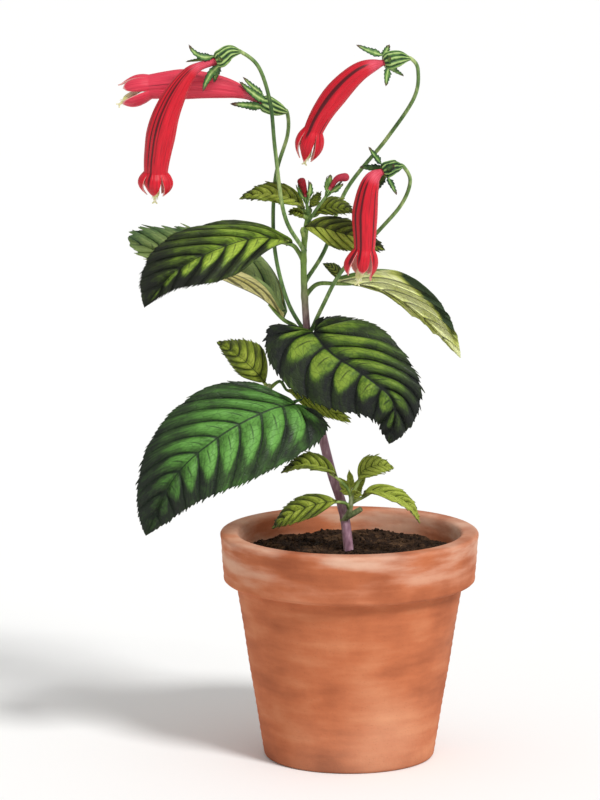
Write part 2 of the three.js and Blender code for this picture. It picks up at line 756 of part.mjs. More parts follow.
flowers.forEach(({ size, flare, sepals, stem, bloom }, i) => {
  const spine = new Spine(bloom);
  const ovary = OVARY_LENGTH * size;
  const into = spine.at((0.25 * ovary) / spine.length).point.toArray();
  const taper = [[0, BRANCH_RADIUS], [1, BRANCH_RADIUS * 0.9]];
  const arch = stalk([...stem, bloom[0], into], taper, { sides: 5, steps: 16 });
  const green = calyx(spine, ovary, size, sepals).add(arch).subtract(stemRoom);
  const start = (ovary + GAP) / spine.length;
  const petal = i === 1 ? COLOURS.petalPale : COLOURS.petal;
  add(`flower_${i + 1}_stalk_and_calyx`, green, COLOURS.branch);
  add(`flower_${i + 1}_corolla`, corolla(spine, start, size, flare), petal, 0.5);
  add(`flower_${i + 1}_stamens`, stamens(spine, size, 1.5), COLOURS.anther);
});

// Two unopened buds stand at the tip of the plant, each in a green cup with four upright sepals.
const BUD_CUP = 3;
const BUD_SEPALS = { foot: 0.8, length: 9, lean: 26, bend: -20 };
const buds = [
  {
    stem: [[-15.7, -1, 210.4], [-16.2, -2.6, 213]],
    bloom: [[-16.4, -3.2, 215], [-17.1, -4, 219.7], [-18.9, -4, 225]],
  },
  {
    stem: [[-15.9, -0.9, 207.4], [-13.8, -5.4, 211.8], [-10.6, -8, 216.6]],
    bloom: [[-9.2, -8.6, 218.6], [-7.1, -9.4, 222.4], [-4.7, -10, 225.6], [-0.4, -10, 226.2]],
  },
];
buds.forEach(({ stem, bloom }, i) => {
  const spine = new Spine(bloom);
  const share = BUD_CUP / spine.length;
  const ring = (u, radius, sides) =>
    Array.from({ length: sides }, (_, j) => spine.around(u, (j / sides) * 2 * Math.PI, radius));
  const cup = loft([ring(0, 0.6, 8), ring(share * 0.6, 1.2, 8), ring(share, 1, 8)]);
  const arch = [...stem, bloom[0], spine.at(share * 0.4).point.toArray()];
  let green = cup.add(stalk(arch, [[0, 0.6], [1, 0.6]], { sides: 5, steps: 6 }));
  for (let k = 0; k < 4; k++) {
    green = green.add(sepal(spine, share * 0.7, (k / 2 + 0.25) * Math.PI, BUD_SEPALS));
  }
  const places = [share + GAP / spine.length, 0.3, 0.5, 0.7, 0.85, 0.96, 1];
  const radii = [0.6, 0.7, 0.95, 1.3, 1.5, 1.1, 0.5];
  add(`bud_${i + 1}_calyx`, green.subtract(stemRoom), COLOURS.branch);
  add(`bud_${i + 1}`, loft(places.map((u, k) => ring(u, radii[k], 10))), COLOURS.petal);
});

export default group;
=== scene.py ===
import math

import bmesh
import bpy
import numpy as np
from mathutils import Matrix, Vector


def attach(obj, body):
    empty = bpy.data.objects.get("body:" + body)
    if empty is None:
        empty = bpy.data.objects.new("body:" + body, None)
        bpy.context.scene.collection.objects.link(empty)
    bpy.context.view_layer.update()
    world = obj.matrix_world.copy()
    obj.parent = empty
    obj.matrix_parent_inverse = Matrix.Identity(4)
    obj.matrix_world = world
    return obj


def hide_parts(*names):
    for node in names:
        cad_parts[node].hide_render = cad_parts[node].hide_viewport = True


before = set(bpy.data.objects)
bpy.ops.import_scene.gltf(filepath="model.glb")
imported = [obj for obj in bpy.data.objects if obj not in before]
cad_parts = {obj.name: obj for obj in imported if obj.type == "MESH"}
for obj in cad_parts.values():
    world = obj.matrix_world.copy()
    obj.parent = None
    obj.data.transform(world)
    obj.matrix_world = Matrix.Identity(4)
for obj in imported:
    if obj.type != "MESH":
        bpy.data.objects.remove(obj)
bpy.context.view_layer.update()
MM = 0.001

# Camera
# It stands 1.8 m in front of the plant and looks down a little, with a long lens, as in the picture.
# The picture's frame is lengthened downwards so that it takes in the pot.
VIEW_CENTRE = Vector((-0.019, 0, 0.139))
VIEW_HEIGHT = 0.306
CAMERA_DISTANCE = 1.8
CAMERA_ELEVATION = math.radians(10)
SENSOR_HEIGHT = 36

camera = bpy.data.objects.new("camera", bpy.data.cameras.new("camera"))
bpy.context.scene.collection.objects.link(camera)
camera.data.sensor_fit = "VERTICAL"
camera.data.sensor_height = SENSOR_HEIGHT
camera.data.lens = SENSOR_HEIGHT * CAMERA_DISTANCE / VIEW_HEIGHT
in_front = Vector((0, -math.cos(CAMERA_ELEVATION), math.sin(CAMERA_ELEVATION)))
camera.location = VIEW_CENTRE + CAMERA_DISTANCE * in_front
camera.rotation_euler = (math.pi / 2 - CAMERA_ELEVATION, 0, 0)
bpy.context.scene.camera = camera

# Pot
# A common clay pot, thrown on a wheel and fired: a tapered wall with faint throwing rings, a rim band
# that stands proud of it, and three drain holes in the floor.
POT_HEIGHT = 88
POT_RIM_RADIUS = 50
POT_RIM_BAND = 20
POT_RIM_STEP = 3.4
POT_FOOT_RADIUS = 33
POT_WALL = 4.2
POT_FLOOR = 6
POT_SEGMENTS = 144
POT_CORNER = 1.7
POT_STEP = 1.3
POT_RIDGE = 0.1
POT_FINE_RIDGE = 0.06
POT_WOBBLE = 0.12
POT_INSET = 0.2
DRAIN_RADIUS = 3
DRAIN_CIRCLE = 19
DRAIN_HOLES = 3


def screen(red, green, blue):
    """A colour as a screen shows it, from 0 to 255, in the linear numbers that a shader takes."""
    channels = [c / 255 for c in (red, green, blue)]
    return tuple(((c + 0.055) / 1.055) ** 2.4 if c > 0.04 else c / 12.92 for c in channels) + (1,)


def palette(*colours):
    return [screen(*colour) for colour in colours]


class Nodes:
    """Adds nodes to a tree. A value given for a socket is a constant or another node's output."""

    def __init__(self, tree, prefix):
        self.tree = tree
        self.prefix = prefix

    def add(self, kind, values=None, **settings):
        node = self.tree.nodes.new(self.prefix + kind)
        for name, value in settings.items():
            setattr(node, name, value)
        for name, value in (values or {}).items():
            self.put(node.inputs[name], value)
        return node

    def put(self, socket, value):
        if isinstance(value, bpy.types.NodeSocket):
            self.tree.links.new(value, socket)
        else:
            socket.default_value = value


class Finish(Nodes):
    """A material whose nodes end in one Principled shader."""

    def __init__(self, name, roughness, specular):
        self.material = bpy.data.materials.new(name)
        self.material.use_nodes = True
        super().__init__(self.material.node_tree, "ShaderNode")
        self.shader = self.tree.nodes["Principled BSDF"]
        self.shader.inputs["Roughness"].default_value = roughness
        self.shader.inputs["Specular IOR Level"].default_value = specular
        self.place = self.add("TexCoord").outputs["Object"]

    def math(self, operation, *values):
        return self.add("Math", dict(enumerate(values)), operation=operation).outputs[0]

    def plus(self, first, second):
        return self.math("ADD", first, second)

    def times(self, first, second):
        return self.math("MULTIPLY", first, second)

    def mix(self, share, first, second):
        return self.add("Mix", {0: share, 6: first, 7: second}, data_type="RGBA").outputs[2]

    def ramp(self, value, places, colours):
        node = self.add("ValToRGB", {0: value})
        elements = node.color_ramp.elements
        while len(elements) < len(places):
            elements.new(0.5)
        for element, place, colour in zip(elements, places, colours):
            element.position = place
            element.color = colour
        return node.outputs[0]

    def between(self, value, low, high, first=0.0, last=1.0):
        """Runs smoothly from first to last while the value goes from low to high."""
        values = {0: value, 1: low, 2: high, 3: first, 4: last}
        return self.add("MapRange", values, interpolation_type="SMOOTHSTEP").outputs[0]

    def noise(self, scale, detail, vector=None, stretch=None):
        vector = self.place if vector is None else vector
        if stretch:
            vector = self.add("Mapping", {"Vector": vector, "Scale": stretch}).outputs[0]
        return self.add("TexNoise", {"Vector": vector, "Scale": scale, "Detail": detail}).outputs[0]

    def layer(self, name):
        return self.add("Attribute", attribute_name=name).outputs["Fac"]

    def both_ways(self):
        """The two values of the piece's own UV map."""
        uv = self.add("UVMap", uv_map="UVMap").outputs[0]
        return self.add("SeparateXYZ", {0: uv}).outputs[:2]

    def stretched(self, first, second, wide, high):
        """Two values, each scaled, as a place on a flat pattern."""
        return self.add("CombineXYZ", {0: self.times(first, wide), 1: self.times(second, high)}).outputs[0]

    def colour(self, value):
        self.put(self.shader.inputs["Base Color"], value)

    def bump(self, height, depth):
        node = self.add("Bump", {"Height": height, "Distance": depth * MM, "Strength": 1.0})
        self.put(self.shader.inputs["Normal"], node.outputs[0])


class Skin:
    """Gathers grids of points into one mesh. Points of a grid that lie on one place become one corner."""

    def __init__(self):
        self.points = []
        self.faces = []
        self.uv = []
        self.layers = {"tone": [], "under": []}
        self.edges = []
        self.thickness = []
        self.count = 0

    def grid(self, points, uv, tone=0.5, under=0.0):
        """Rows of points, each closed in a ring. uv has one column more than the points."""
        rows, columns = points.shape[:2]
        across = np.arange(columns)
        low = np.arange(rows - 1)[:, None] * columns
        near = low + across
        far = low + (across + 1) % columns
        quads = np.stack([near, far, far + columns, near + columns], -1).reshape(-1, 4)
        corner_uv = np.stack([uv[:-1, :-1], uv[:-1, 1:], uv[1:, 1:], uv[1:, :-1]], 2).reshape(-1, 4, 2)
        flat = points.reshape(-1, 3)
        keys = np.round(flat * 2e4).astype(np.int64)
        _, first, same = np.unique(keys, axis=0, return_index=True, return_inverse=True)
        quads = same.reshape(-1)[quads]
        after = np.roll(quads, -1, axis=1)
        whole = (quads != after).all(1)
        for quad, place in zip(quads[whole], corner_uv[whole]):
            self.faces.append(tuple(quad + self.count))
            self.uv.append(place)
        for quad, following, place in zip(quads[~whole], after[~whole], corner_uv[~whole]):
            kept = quad != following
            if len(set(quad[kept])) > 2:
                self.faces.append(tuple(quad[kept] + self.count))
                self.uv.append(place[kept])
        self.points.append(flat[first])
        for name, value in (("tone", tone), ("under", under)):
            self.layers[name].append(np.broadcast_to(value, (rows, columns)).reshape(-1)[first])
        self.thickness.append(np.zeros(len(first)))
        self.count += len(first)

    def line(self, points, radii, tone=0.5):
        """A route for a round stalk, with its radius at each point."""
        count = len(points)
        self.edges += [(self.count + i, self.count + i + 1) for i in range(count - 1)]
        self.points.append(np.asarray(points))
        self.layers["tone"].append(np.broadcast_to(tone, count))
        self.layers["under"].append(np.zeros(count))
        self.thickness.append(np.asarray(radii))
        self.count += count

    def make(self, name, material):
        """Makes the mesh in metres, and its object."""
        mesh = bpy.data.meshes.new(name)
        corners = np.concatenate(self.points) * MM
        mesh.from_pydata(corners.tolist(), self.edges, self.faces)
        for layer, values in (*self.layers.items(), ("thickness", self.thickness)):
            data = mesh.attributes.new(layer, "FLOAT", "POINT").data
            scale = MM if layer == "thickness" else 1
            data.foreach_set("value", (np.concatenate(values) * scale).astype(np.float32))
        if self.uv:
            uv = mesh.uv_layers.new(name="UVMap")
            uv.uv.foreach_set("vector", np.concatenate(self.uv).astype(np.float32).ravel())
        mesh.shade_smooth()
        mesh.materials.append(material)
        piece = bpy.data.objects.new(name, mesh)
        bpy.context.scene.collection.objects.link(piece)
        return piece


def bake_modifiers(piece):
    """Turns what the modifiers make into the piece's own mesh, and takes them off."""
    graph = bpy.context.evaluated_depsgraph_get()
    evaluated = piece.evaluated_get(graph)
    mesh = bpy.data.meshes.new_from_object(evaluated, preserve_all_data_layers=True, depsgraph=graph)
    piece.modifiers.clear()
    piece.data = mesh
    mesh.name = piece.name


def place_in_frame(piece, node):
    """The piece rides on the plant's one body and stands for its CAD node."""
    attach(piece, "root")
    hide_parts(node)


def ring_uv(rows, columns, wide=1.0, high=1.0):
    """uv for rings: across the columns and back to the first, and up the rows."""
    across, up = np.meshgrid(np.linspace(0, wide, columns + 1), np.linspace(0, high, rows))
    return np.stack([across, up], -1)


def rounded(points, radius, steps=5):
    """An outline whose corners between the first and the last point are rounded off."""
    points = [np.array(p, float) for p in points]
    outline = [points[0]]
    share = np.linspace(0, 1, steps)[:, None]
    for before, corner, after in zip(points, points[1:], points[2:]):
        reach = [min(radius, np.linalg.norm(p - corner) / 2) for p in (before, after)]
        first, last = [
            corner + (p - corner) / np.linalg.norm(p - corner) * r for p, r in zip((before, after), reach)
        ]
        outline += list((1 - share) ** 2 * first + 2 * share * (1 - share) * corner + share**2 * last)
    return outline + [points[-1]]


def dense(outline, step):
    """The same outline with points at most a step apart."""
    result = [outline[0]]
    for a, b in zip(outline, outline[1:]):
        count = max(1, math.ceil(np.linalg.norm(b - a) / step))
        result += [a + (b - a) * i / count for i in range(1, count + 1)]
    return np.array(result)


pot_taper = (POT_RIM_RADIUS - POT_RIM_STEP - POT_FOOT_RADIUS) / POT_HEIGHT
shoulder = POT_HEIGHT - POT_RIM_BAND


def outer_radius(z):
    return POT_FOOT_RADIUS + 0.6 + pot_taper * z


def inner_radius(z):
    return outer_radius(z) - POT_WALL


outline = dense(rounded([
    (0, 0),
    (POT_FOOT_RADIUS - 0.2, 0),
    (outer_radius(shoulder) - 0.3, shoulder + 0.6),
    (POT_RIM_RADIUS - 1.5, shoulder + 0.6),
    (POT_RIM_RADIUS - 0.1, POT_HEIGHT),
    (inner_radius(POT_HEIGHT), POT_HEIGHT),
    (inner_radius(POT_FLOOR), POT_FLOOR),
    (0, POT_FLOOR),
], POT_CORNER), POT_STEP)
angles = np.arange(POT_SEGMENTS) / POT_SEGMENTS * 2 * math.pi
radius, height = outline.T
thrown = POT_RIDGE * np.sin(1.9 * height) + POT_FINE_RIDGE * np.sin(4.7 * height + 1)
wobble = POT_WOBBLE * np.sin(2 * angles + 0.05 * height[:, None])
# The ridges fade out toward the axis, the foot and the rim, and lie a little inside the plain shape.
held = np.clip((radius - 5) / 10, 0, 1) * np.clip(height / 4, 0, 1) * np.clip((POT_HEIGHT - height) / 4, 0, 1)
radius = radius[:, None] + held[:, None] * (thrown[:, None] + wobble - POT_INSET)
rings = np.stack([
    radius * np.cos(angles), radius * np.sin(angles), np.repeat(height[:, None], POT_SEGMENTS, 1),
], -1)
clay = Finish("fired_clay", 0.86, 0.25)
mottle = clay.noise(38, 6)
cloud = clay.noise(11, 2)
streak = clay.noise(30, 4, stretch=(1, 1, 5))
fired = clay.plus(clay.times(mottle, 0.55), clay.times(streak, 0.45))
body = clay.ramp(fired, (0.32, 0.5, 0.68), palette((150, 80, 50), (188, 108, 70), (208, 136, 96)))
body = clay.mix(clay.between(cloud, 0.5, 0.75, 0, 0.35), body, screen(222, 178, 148))
grain = clay.add("TexVoronoi", {"Vector": clay.place, "Scale": 900.0}).outputs[0]
body = clay.mix(clay.between(grain, 0.0, 0.22, 0.45, 0), body, screen(118, 62, 42))
level = clay.add("SeparateXYZ", {0: clay.place}).outputs[2]
damp = clay.plus(level, clay.times(mottle, 0.02))
body = clay.mix(clay.between(damp, 0.0, 0.022, 0.55, 0), body, screen(122, 72, 50))
bloom = clay.times(clay.between(damp, 0.074, 0.1), clay.between(streak, 0.4, 0.7, 0, 0.5))
clay.colour(clay.mix(bloom, body, screen(232, 208, 188)))
rough = clay.plus(clay.times(clay.noise(420, 4), 0.5), clay.times(mottle, 0.8))
clay.bump(rough, 0.35)
skin = Skin()
skin.grid(rings, ring_uv(len(outline), POT_SEGMENTS))
pot = skin.make("clay_pot", clay.material)
for i in range(DRAIN_HOLES):
    angle = (i + 0.5) / DRAIN_HOLES * 2 * math.pi
    drill = bmesh.new()
    bmesh.ops.create_cone(
        drill, cap_ends=True, segments=32, radius1=DRAIN_RADIUS * MM, radius2=DRAIN_RADIUS * MM,
        depth=POT_FLOOR * 3 * MM,
    )
    across = Vector((math.cos(angle), math.sin(angle), 0)) * DRAIN_CIRCLE * MM
    bmesh.ops.translate(drill, verts=drill.verts, vec=across)
    bit = bpy.data.objects.new("drill", bpy.data.meshes.new("drill"))
    drill.to_mesh(bit.data)
    drill.free()
    bpy.context.scene.collection.objects.link(bit)
    cut = pot.modifiers.new("drain_hole", "BOOLEAN")
    cut.operation = "DIFFERENCE"
    cut.object = bit
    bake_modifiers(pot)
    bpy.data.objects.remove(bit)
pot.data.set_sharp_from_angle(angle=math.radians(40))
place_in_frame(pot, "pot")

# Soil
# Dark, moist potting compost fills the pot to 8 mm below its rim, and the stem stands in it. Its top is
# uneven, and small crumbs of many sizes lie all over it.
SOIL_TOP = POT_HEIGHT - 8
SOIL_GAP = 0.6
SOIL_RINGS = 46
SOIL_SEGMENTS = 120
SOIL_BUMP = 0.7
SOIL_RIPPLE = 0.35
SOIL_FINE_RIPPLE = 0.2
CRUMB_SPACING = 1.35
CRUMB_SMALL = 0.35
CRUMB_LARGE = 1.25
CRUMB_SKEW = 3.0
CRUMB_SEED = 4
LEVEL_ENOUGH = 0.7


class Tree(Nodes):
    """A Geometry Nodes tree with named inputs. It ends in Realize Instances and Set Material."""

    def __init__(self, name, **inputs):
        tree = bpy.data.node_groups.new(name, "GeometryNodeTree")
        super().__init__(tree, "GeometryNode")
        tree.interface.new_socket(name="Geometry", in_out="INPUT", socket_type="NodeSocketGeometry")
        tree.interface.new_socket(name="Geometry", in_out="OUTPUT", socket_type="NodeSocketGeometry")
        self.names = {}
        for label, kind in inputs.items():
            socket = tree.interface.new_socket(name=label, in_out="INPUT", socket_type="NodeSocket" + kind)
            self.names[label] = socket.identifier
        self.inputs = tree.nodes.new("NodeGroupInput").outputs
        self.output = tree.nodes.new("NodeGroupOutput").inputs[0]

    def plain(self, kind, values=None, **settings):
        """A node that shaders have too, such as Math."""
        self.prefix = ""
        node = self.add(kind, values, **settings)
        self.prefix = "GeometryNode"
        return node

    def number(self, operation, *values):
        return self.plain("ShaderNodeMath", dict(enumerate(values)), operation=operation).outputs[0]

    def vector(self, operation, values):
        return self.plain("ShaderNodeVectorMath", values, operation=operation).outputs[0]

    def compare(self, operation, first, second):
        return self.plain("FunctionNodeCompare", {0: first, 1: second}, operation=operation).outputs[0]

    def draw_vector(self, low, high, seed):
        values = {0: low, 1: high, "Seed": seed}
        return self.plain("FunctionNodeRandomValue", values, data_type="FLOAT_VECTOR").outputs[0]

    def join(self, *parts):
        node = self.add("JoinGeometry")
        for part in parts:
            self.tree.links.new(part, node.inputs[0])
        return node.outputs[0]

    def end(self, geometry, **material):
        whole = self.add("RealizeInstances", {0: geometry}).outputs[0]
        coated = self.add("SetMaterial", {"Geometry": whole, **material})
        self.tree.links.new(coated.outputs[0], self.output)

    def run(self, piece, **values):
        """Sets the inputs on a piece, and turns the result into its mesh."""
        modifier = piece.modifiers.new(self.tree.name, "NODES")
        modifier.node_group = self.tree
        for label, value in values.items():
            modifier[self.names[label]] = value
        bake_modifiers(piece)


crumbs = Tree(
    "soil_crumbs", Spacing="Float", Small="Float", Large="Float", Reach="Float", Seed="Int", Coat="Material",
)
given = crumbs.inputs
where = crumbs.add("InputPosition").outputs[0]
facing = crumbs.plain("ShaderNodeSeparateXYZ", {0: crumbs.add("InputNormal").outputs[0]}).outputs[2]
flat_place = crumbs.vector("MULTIPLY", {0: where, 1: (1, 1, 0)})
from_axis = crumbs.plain("ShaderNodeVectorMath", {0: flat_place}, operation="LENGTH").outputs["Value"]
on_top = crumbs.compare("GREATER_THAN", facing, LEVEL_ENOUGH)
inside = crumbs.compare("LESS_THAN", from_axis, given["Reach"])
chosen = crumbs.plain("FunctionNodeBooleanMath", {0: on_top, 1: inside}, operation="AND").outputs[0]
density = crumbs.number("DIVIDE", 1.0, crumbs.number("MULTIPLY", given["Spacing"], given["Spacing"]))
spots = crumbs.add("DistributePointsOnFaces", {
    "Mesh": given["Geometry"], "Selection": chosen, "Density": density, "Seed": given["Seed"],
}).outputs["Points"]
grain_shape = crumbs.add("MeshIcoSphere", {"Radius": 1.0, "Subdivisions": 1}).outputs[0]
draw = crumbs.plain("FunctionNodeRandomValue", {2: 0.0, 3: 1.0, "Seed": 1}, data_type="FLOAT").outputs[1]
grain_size = crumbs.plain("ShaderNodeMapRange", {
    0: crumbs.number("POWER", draw, CRUMB_SKEW), 1: 0.0, 2: 1.0, 3: given["Small"], 4: given["Large"],
}).outputs[0]
squat = crumbs.draw_vector((0.6, 0.6, 0.5), (1.3, 1.1, 0.9), 2)
scattered = crumbs.add("InstanceOnPoints", {
    "Points": spots,
    "Instance": grain_shape,
    "Scale": crumbs.vector("SCALE", {0: squat, "Scale": grain_size}),
    "Rotation": crumbs.draw_vector((0, 0, 0), (0.7, 0.7, 6.28), 3),
}).outputs[0]
loose = crumbs.add("RealizeInstances", {0: scattered}).outputs[0]
jitter = crumbs.plain("ShaderNodeTexNoise", {"Vector": where, "Scale": 900.0}).outputs["Color"]
centred = crumbs.vector("SUBTRACT", {0: jitter, 1: (0.5, 0.5, 0.5)})
push = crumbs.vector("SCALE", {0: centred, "Scale": given["Large"]})
broken = crumbs.add("SetPosition", {"Geometry": loose, "Offset": push}).outputs[0]
crumbs.end(crumbs.join(broken, given["Geometry"]), Material=given["Coat"])

soil_edge = inner_radius(SOIL_TOP) - SOIL_GAP
soil_foot = inner_radius(POT_FLOOR + 3) - SOIL_GAP
radius = np.concatenate([[0, soil_foot - 2, soil_foot], np.linspace(soil_edge, 0, SOIL_RINGS)])
height = [[POT_FLOOR + 0.3, POT_FLOOR + 0.3, POT_FLOOR + 3], np.full(SOIL_RINGS, SOIL_TOP - 0.2)]
height = np.concatenate(height)
# The outermost ring of the top lies a little lower.
height[3] -= 0.8
angles = np.arange(SOIL_SEGMENTS) / SOIL_SEGMENTS * 2 * math.pi
x = radius[:, None] * np.cos(angles)
y = radius[:, None] * np.sin(angles)
top = (np.arange(len(radius)) > 3)[:, None]
rolling = SOIL_BUMP * np.sin(0.31 * x + 1) * np.cos(0.27 * y) + 0.6 * SOIL_BUMP * np.sin(0.7 * x + 0.9 * y)
fine = SOIL_RIPPLE * np.sin(2.3 * x + 1.1 * y) * np.sin(1.9 * y - 0.7 * x)
fine = fine + SOIL_FINE_RIPPLE * np.sin(5.1 * x) * np.sin(4.3 * y + x)
z = height[:, None] + top * (rolling + fine)
skin = Skin()
skin.grid(np.stack([x, y, z], -1), ring_uv(len(radius), len(angles)))
compost = Finish("potting_compost", 0.95, 0.15)
speck = compost.noise(420, 2)
clod = compost.noise(90, 3)
mould = compost.math("MULTIPLY_ADD", speck, 0.6, compost.times(clod, 0.4))
browns = palette((28, 19, 13), (52, 36, 25), (92, 68, 48), (132, 106, 80))
compost.colour(compost.ramp(mould, (0.33, 0.5, 0.66, 0.76), browns))
compost.bump(compost.noise(700, 5), 0.4)
soil = skin.make("potting_soil", compost.material)
crumbs.run(
    soil, Spacing=CRUMB_SPACING * MM, Small=CRUMB_SMALL * MM, Large=CRUMB_LARGE * MM,
    Reach=(soil_edge - 1.4) * MM, Seed=CRUMB_SEED, Coat=compost.material,
)
place_in_frame(soil, "soil")

# Main stem
# A soft round stem that leans to the left, purple where it is old and green toward the tip. It rises out of
# the soil, and it is thickened a little at each leaf.
MAIN_STEM = [
    [0.4, 0, 55],
    [0.3, 0, 70],
    [-0.5, 0, 82.7],
    [-2.6, 1, 97],
    [-7.2, 2, 111.5],
    [-12.1, 3, 132.8],
    [-15.6, 2, 157.9],
    [-17.4, 1, 182.3],
    [-17.4, 0, 199.1],
    [-15.6, -1, 211.8],
]
STEM_TAPER = [[0, 1.95], [0.45, 1.75], [0.75, 1.35], [1, 0.95]]
STEM_NODES = [97, 129, 161, 179, 193, 201.5, 207]
STEM_NODE_SWELL = 0.13
STEM_NODE_REACH = 1.5
STEM_SIDES = 28
PURPLE_UP_TO = 0.168
GREEN_FROM = 0.196
STALK_SIDES = 14


def smooth(points, places):
    """A smooth curve through all the points, read at places from 0 to 1, evenly from point to point."""
    points = np.asarray(points, float)
    count = len(points) - 1
    ends = np.vstack([2 * points[0] - points[1], points, 2 * points[-1] - points[-2]])
    t = np.clip(np.asarray(places, float), 0, 1) * count
    i = np.minimum(t.astype(int), count - 1)
    w = (t - i)[..., None]
    p0, p1, p2, p3 = ends[i], ends[i + 1], ends[i + 2], ends[i + 3]
    m1, m2 = (p2 - p0) / 2, (p3 - p1) / 2
    cubic = (2 * p1 - 2 * p2 + m1 + m2) * w**3 + (-3 * p1 + 3 * p2 - 2 * m1 - m2) * w**2
    return cubic + m1 * w + p1


def profile(points, places):
    """A value read off a smooth line through the points [place, value]."""
    line = smooth(points, np.linspace(0, 1, 300))
    return np.interp(places, line[:, 0], line[:, 1])


def unit(vectors):
    return vectors / np.maximum(np.linalg.norm(vectors, axis=-1, keepdims=True), 1e-9)


class Spine:
    """A curve with frames that don't twist. Places run from 0 to 1 by length, and lie straight on beyond."""

    def __init__(self, points, steps=400):
        line = smooth(points, np.linspace(0, 1, 4 * steps + 1))
        run = np.concatenate([[0], np.cumsum(np.linalg.norm(np.diff(line, axis=0), axis=1))])
        self.length = run[-1]
        self.places = np.linspace(0, 1, steps + 1)
        self.points = np.stack([np.interp(self.places * run[-1], run, line[:, k]) for k in range(3)], 1)
        self.ahead = unit(np.gradient(self.points, axis=0))
        axis = np.zeros(3)
        axis[2 - np.argmin(np.abs(self.ahead[0])[::-1])] = 1
        side = [unit(np.cross(self.ahead[0], np.cross(self.ahead[0], axis)))]
        for ahead in self.ahead[1:]:
            side.append(unit(side[-1] - ahead * np.dot(side[-1], ahead)))
        self.side = np.array(side)
        self.up = np.cross(self.ahead, self.side)

    def read(self, table, u):
        inside = np.clip(u, 0, 1)
        return np.stack([np.interp(inside, self.places, table[:, k]) for k in range(3)], -1)

    def at(self, u):
        u = np.asarray(u, float)
        ahead = unit(self.read(self.ahead, u))
        beyond = (u - np.clip(u, 0, 1)) * self.length
        return self.read(self.points, u) + ahead * beyond[..., None], ahead

    def around(self, u, angle, radius):
        """Points at an angle round the curve, at a radius. All three may differ from point to point."""
        u, angle, radius = np.broadcast_arrays(u, angle, radius)
        point, _ = self.at(u)
        out = self.read(self.side, u) * np.cos(angle)[..., None]
        out = out + self.read(self.up, u) * np.sin(angle)[..., None]
        return point + unit(out) * radius[..., None]


stalks = Tree("stalks", Sides="Int", Coat="Material")
bare = stalks.add("InputMeshEdgeNeighbors").outputs[0]
is_route = stalks.plain("FunctionNodeCompare", {2: bare, 3: 0}, data_type="INT", operation="EQUAL").outputs[0]
parts = stalks.add("SeparateGeometry", {0: stalks.inputs["Geometry"], 1: is_route}, domain="EDGE")
route = stalks.add("MeshToCurve", {0: parts.outputs[0]}).outputs[0]
thickness = stalks.add("InputNamedAttribute", {"Name": "thickness"}, data_type="FLOAT").outputs[0]
section = stalks.add("CurvePrimitiveCircle", {"Resolution": stalks.inputs["Sides"], "Radius": 1.0}).outputs[0]
round_stalk = stalks.add("CurveToMesh", {
    0: route, 1: section, "Scale": thickness, "Fill Caps": True,
}).outputs[0]
marked = stalks.add("StoreNamedAttribute", {
    "Geometry": round_stalk, "Name": "stalk", "Value": 1.0,
}, data_type="FLOAT", domain="FACE").outputs[0]
smoothed = stalks.add("SetShadeSmooth", {0: stalks.join(marked, parts.outputs[1])}).outputs[0]
on_stalk = stalks.add("InputNamedAttribute", {"Name": "stalk"}, data_type="FLOAT").outputs[0]
stalks.end(
    smoothed, Selection=stalks.compare("GREATER_THAN", on_stalk, 0.5), Material=stalks.inputs["Coat"],
)


def stalk(skin, points, radii, step=0.8, flare=0.0):
    """Adds a stalk through the points. It may flare out where it starts, as on the main stem."""
    spine = Spine(points)
    count = max(6, int(spine.length / step))
    u = np.linspace(0, 1, count)
    thick = profile(radii, u) * (1 + flare * np.exp(-u * spine.length / 1.6))
    skin.line(spine.at(u)[0], thick)


def stem_finish(name, low, high=None, turn_low=0.0, turn_high=1.0):
    """The skin of a stem in three shades, which may turn into others with the height."""
    finish = Finish(name, 0.5, 0.3)
    height = finish.add("SeparateXYZ", {0: finish.place}).outputs[2]
    lines = finish.noise(160, 4, stretch=(1, 1, 0.06))
    flecks = finish.noise(900, 2, stretch=(1, 1, 0.35))
    shade = finish.math("MULTIPLY_ADD", lines, 0.7, finish.times(flecks, 0.3))
    old, new = (finish.ramp(shade, (0.35, 0.5, 0.64), colours) for colours in (low, high or low))
    level = finish.plus(height, finish.times(lines, 0.012))
    finish.colour(finish.mix(finish.between(level, turn_low, turn_high), old, new))
    finish.bump(shade, 0.25)
    return finish.material


purple = palette((104, 68, 84), (168, 128, 144), (220, 190, 200))
fresh = palette((84, 112, 50), (128, 158, 74), (176, 196, 116))
stem_skin = stem_finish("stem_skin", purple, fresh, PURPLE_UP_TO, GREEN_FROM)
skin = Skin()
spine = Spine(MAIN_STEM)
u = np.linspace(0, 1, 260)
places, _ = spine.at(u)
thick = profile(STEM_TAPER, u)
for node in STEM_NODES:
    thick = thick * (1 + STEM_NODE_SWELL * np.exp(-(((places[:, 2] - node) / STEM_NODE_REACH) ** 2)))
skin.line(places, thick)
stem = skin.make("stem_of_the_plant", stem_skin)
stalks.run(stem, Sides=STEM_SIDES, Coat=stem_skin)
place_in_frame(stem, "main_stem")

# Leaves
# Each leaf is one thin blade with its stalk. Its side veins lie in valleys, the panels between them bulge
# upwards, and its edge is cut in forward-pointing teeth. The veins stand out on the pale underside.
BLADE_THICKNESS = 0.5
BLADE_ARCH = 0.07
RIB_GROOVE = 0.45
RIB_GROOVE_WIDTH = 0.9
VEIN_RIDGE = 0.3
VEIN_RIDGE_WIDTH = 0.35
TOOTH_TIP = 0.78
TOOTH_LEAN = 0.55
TOOTHED_FROM = 0.86
PETIOLE_BELOW = 0.45
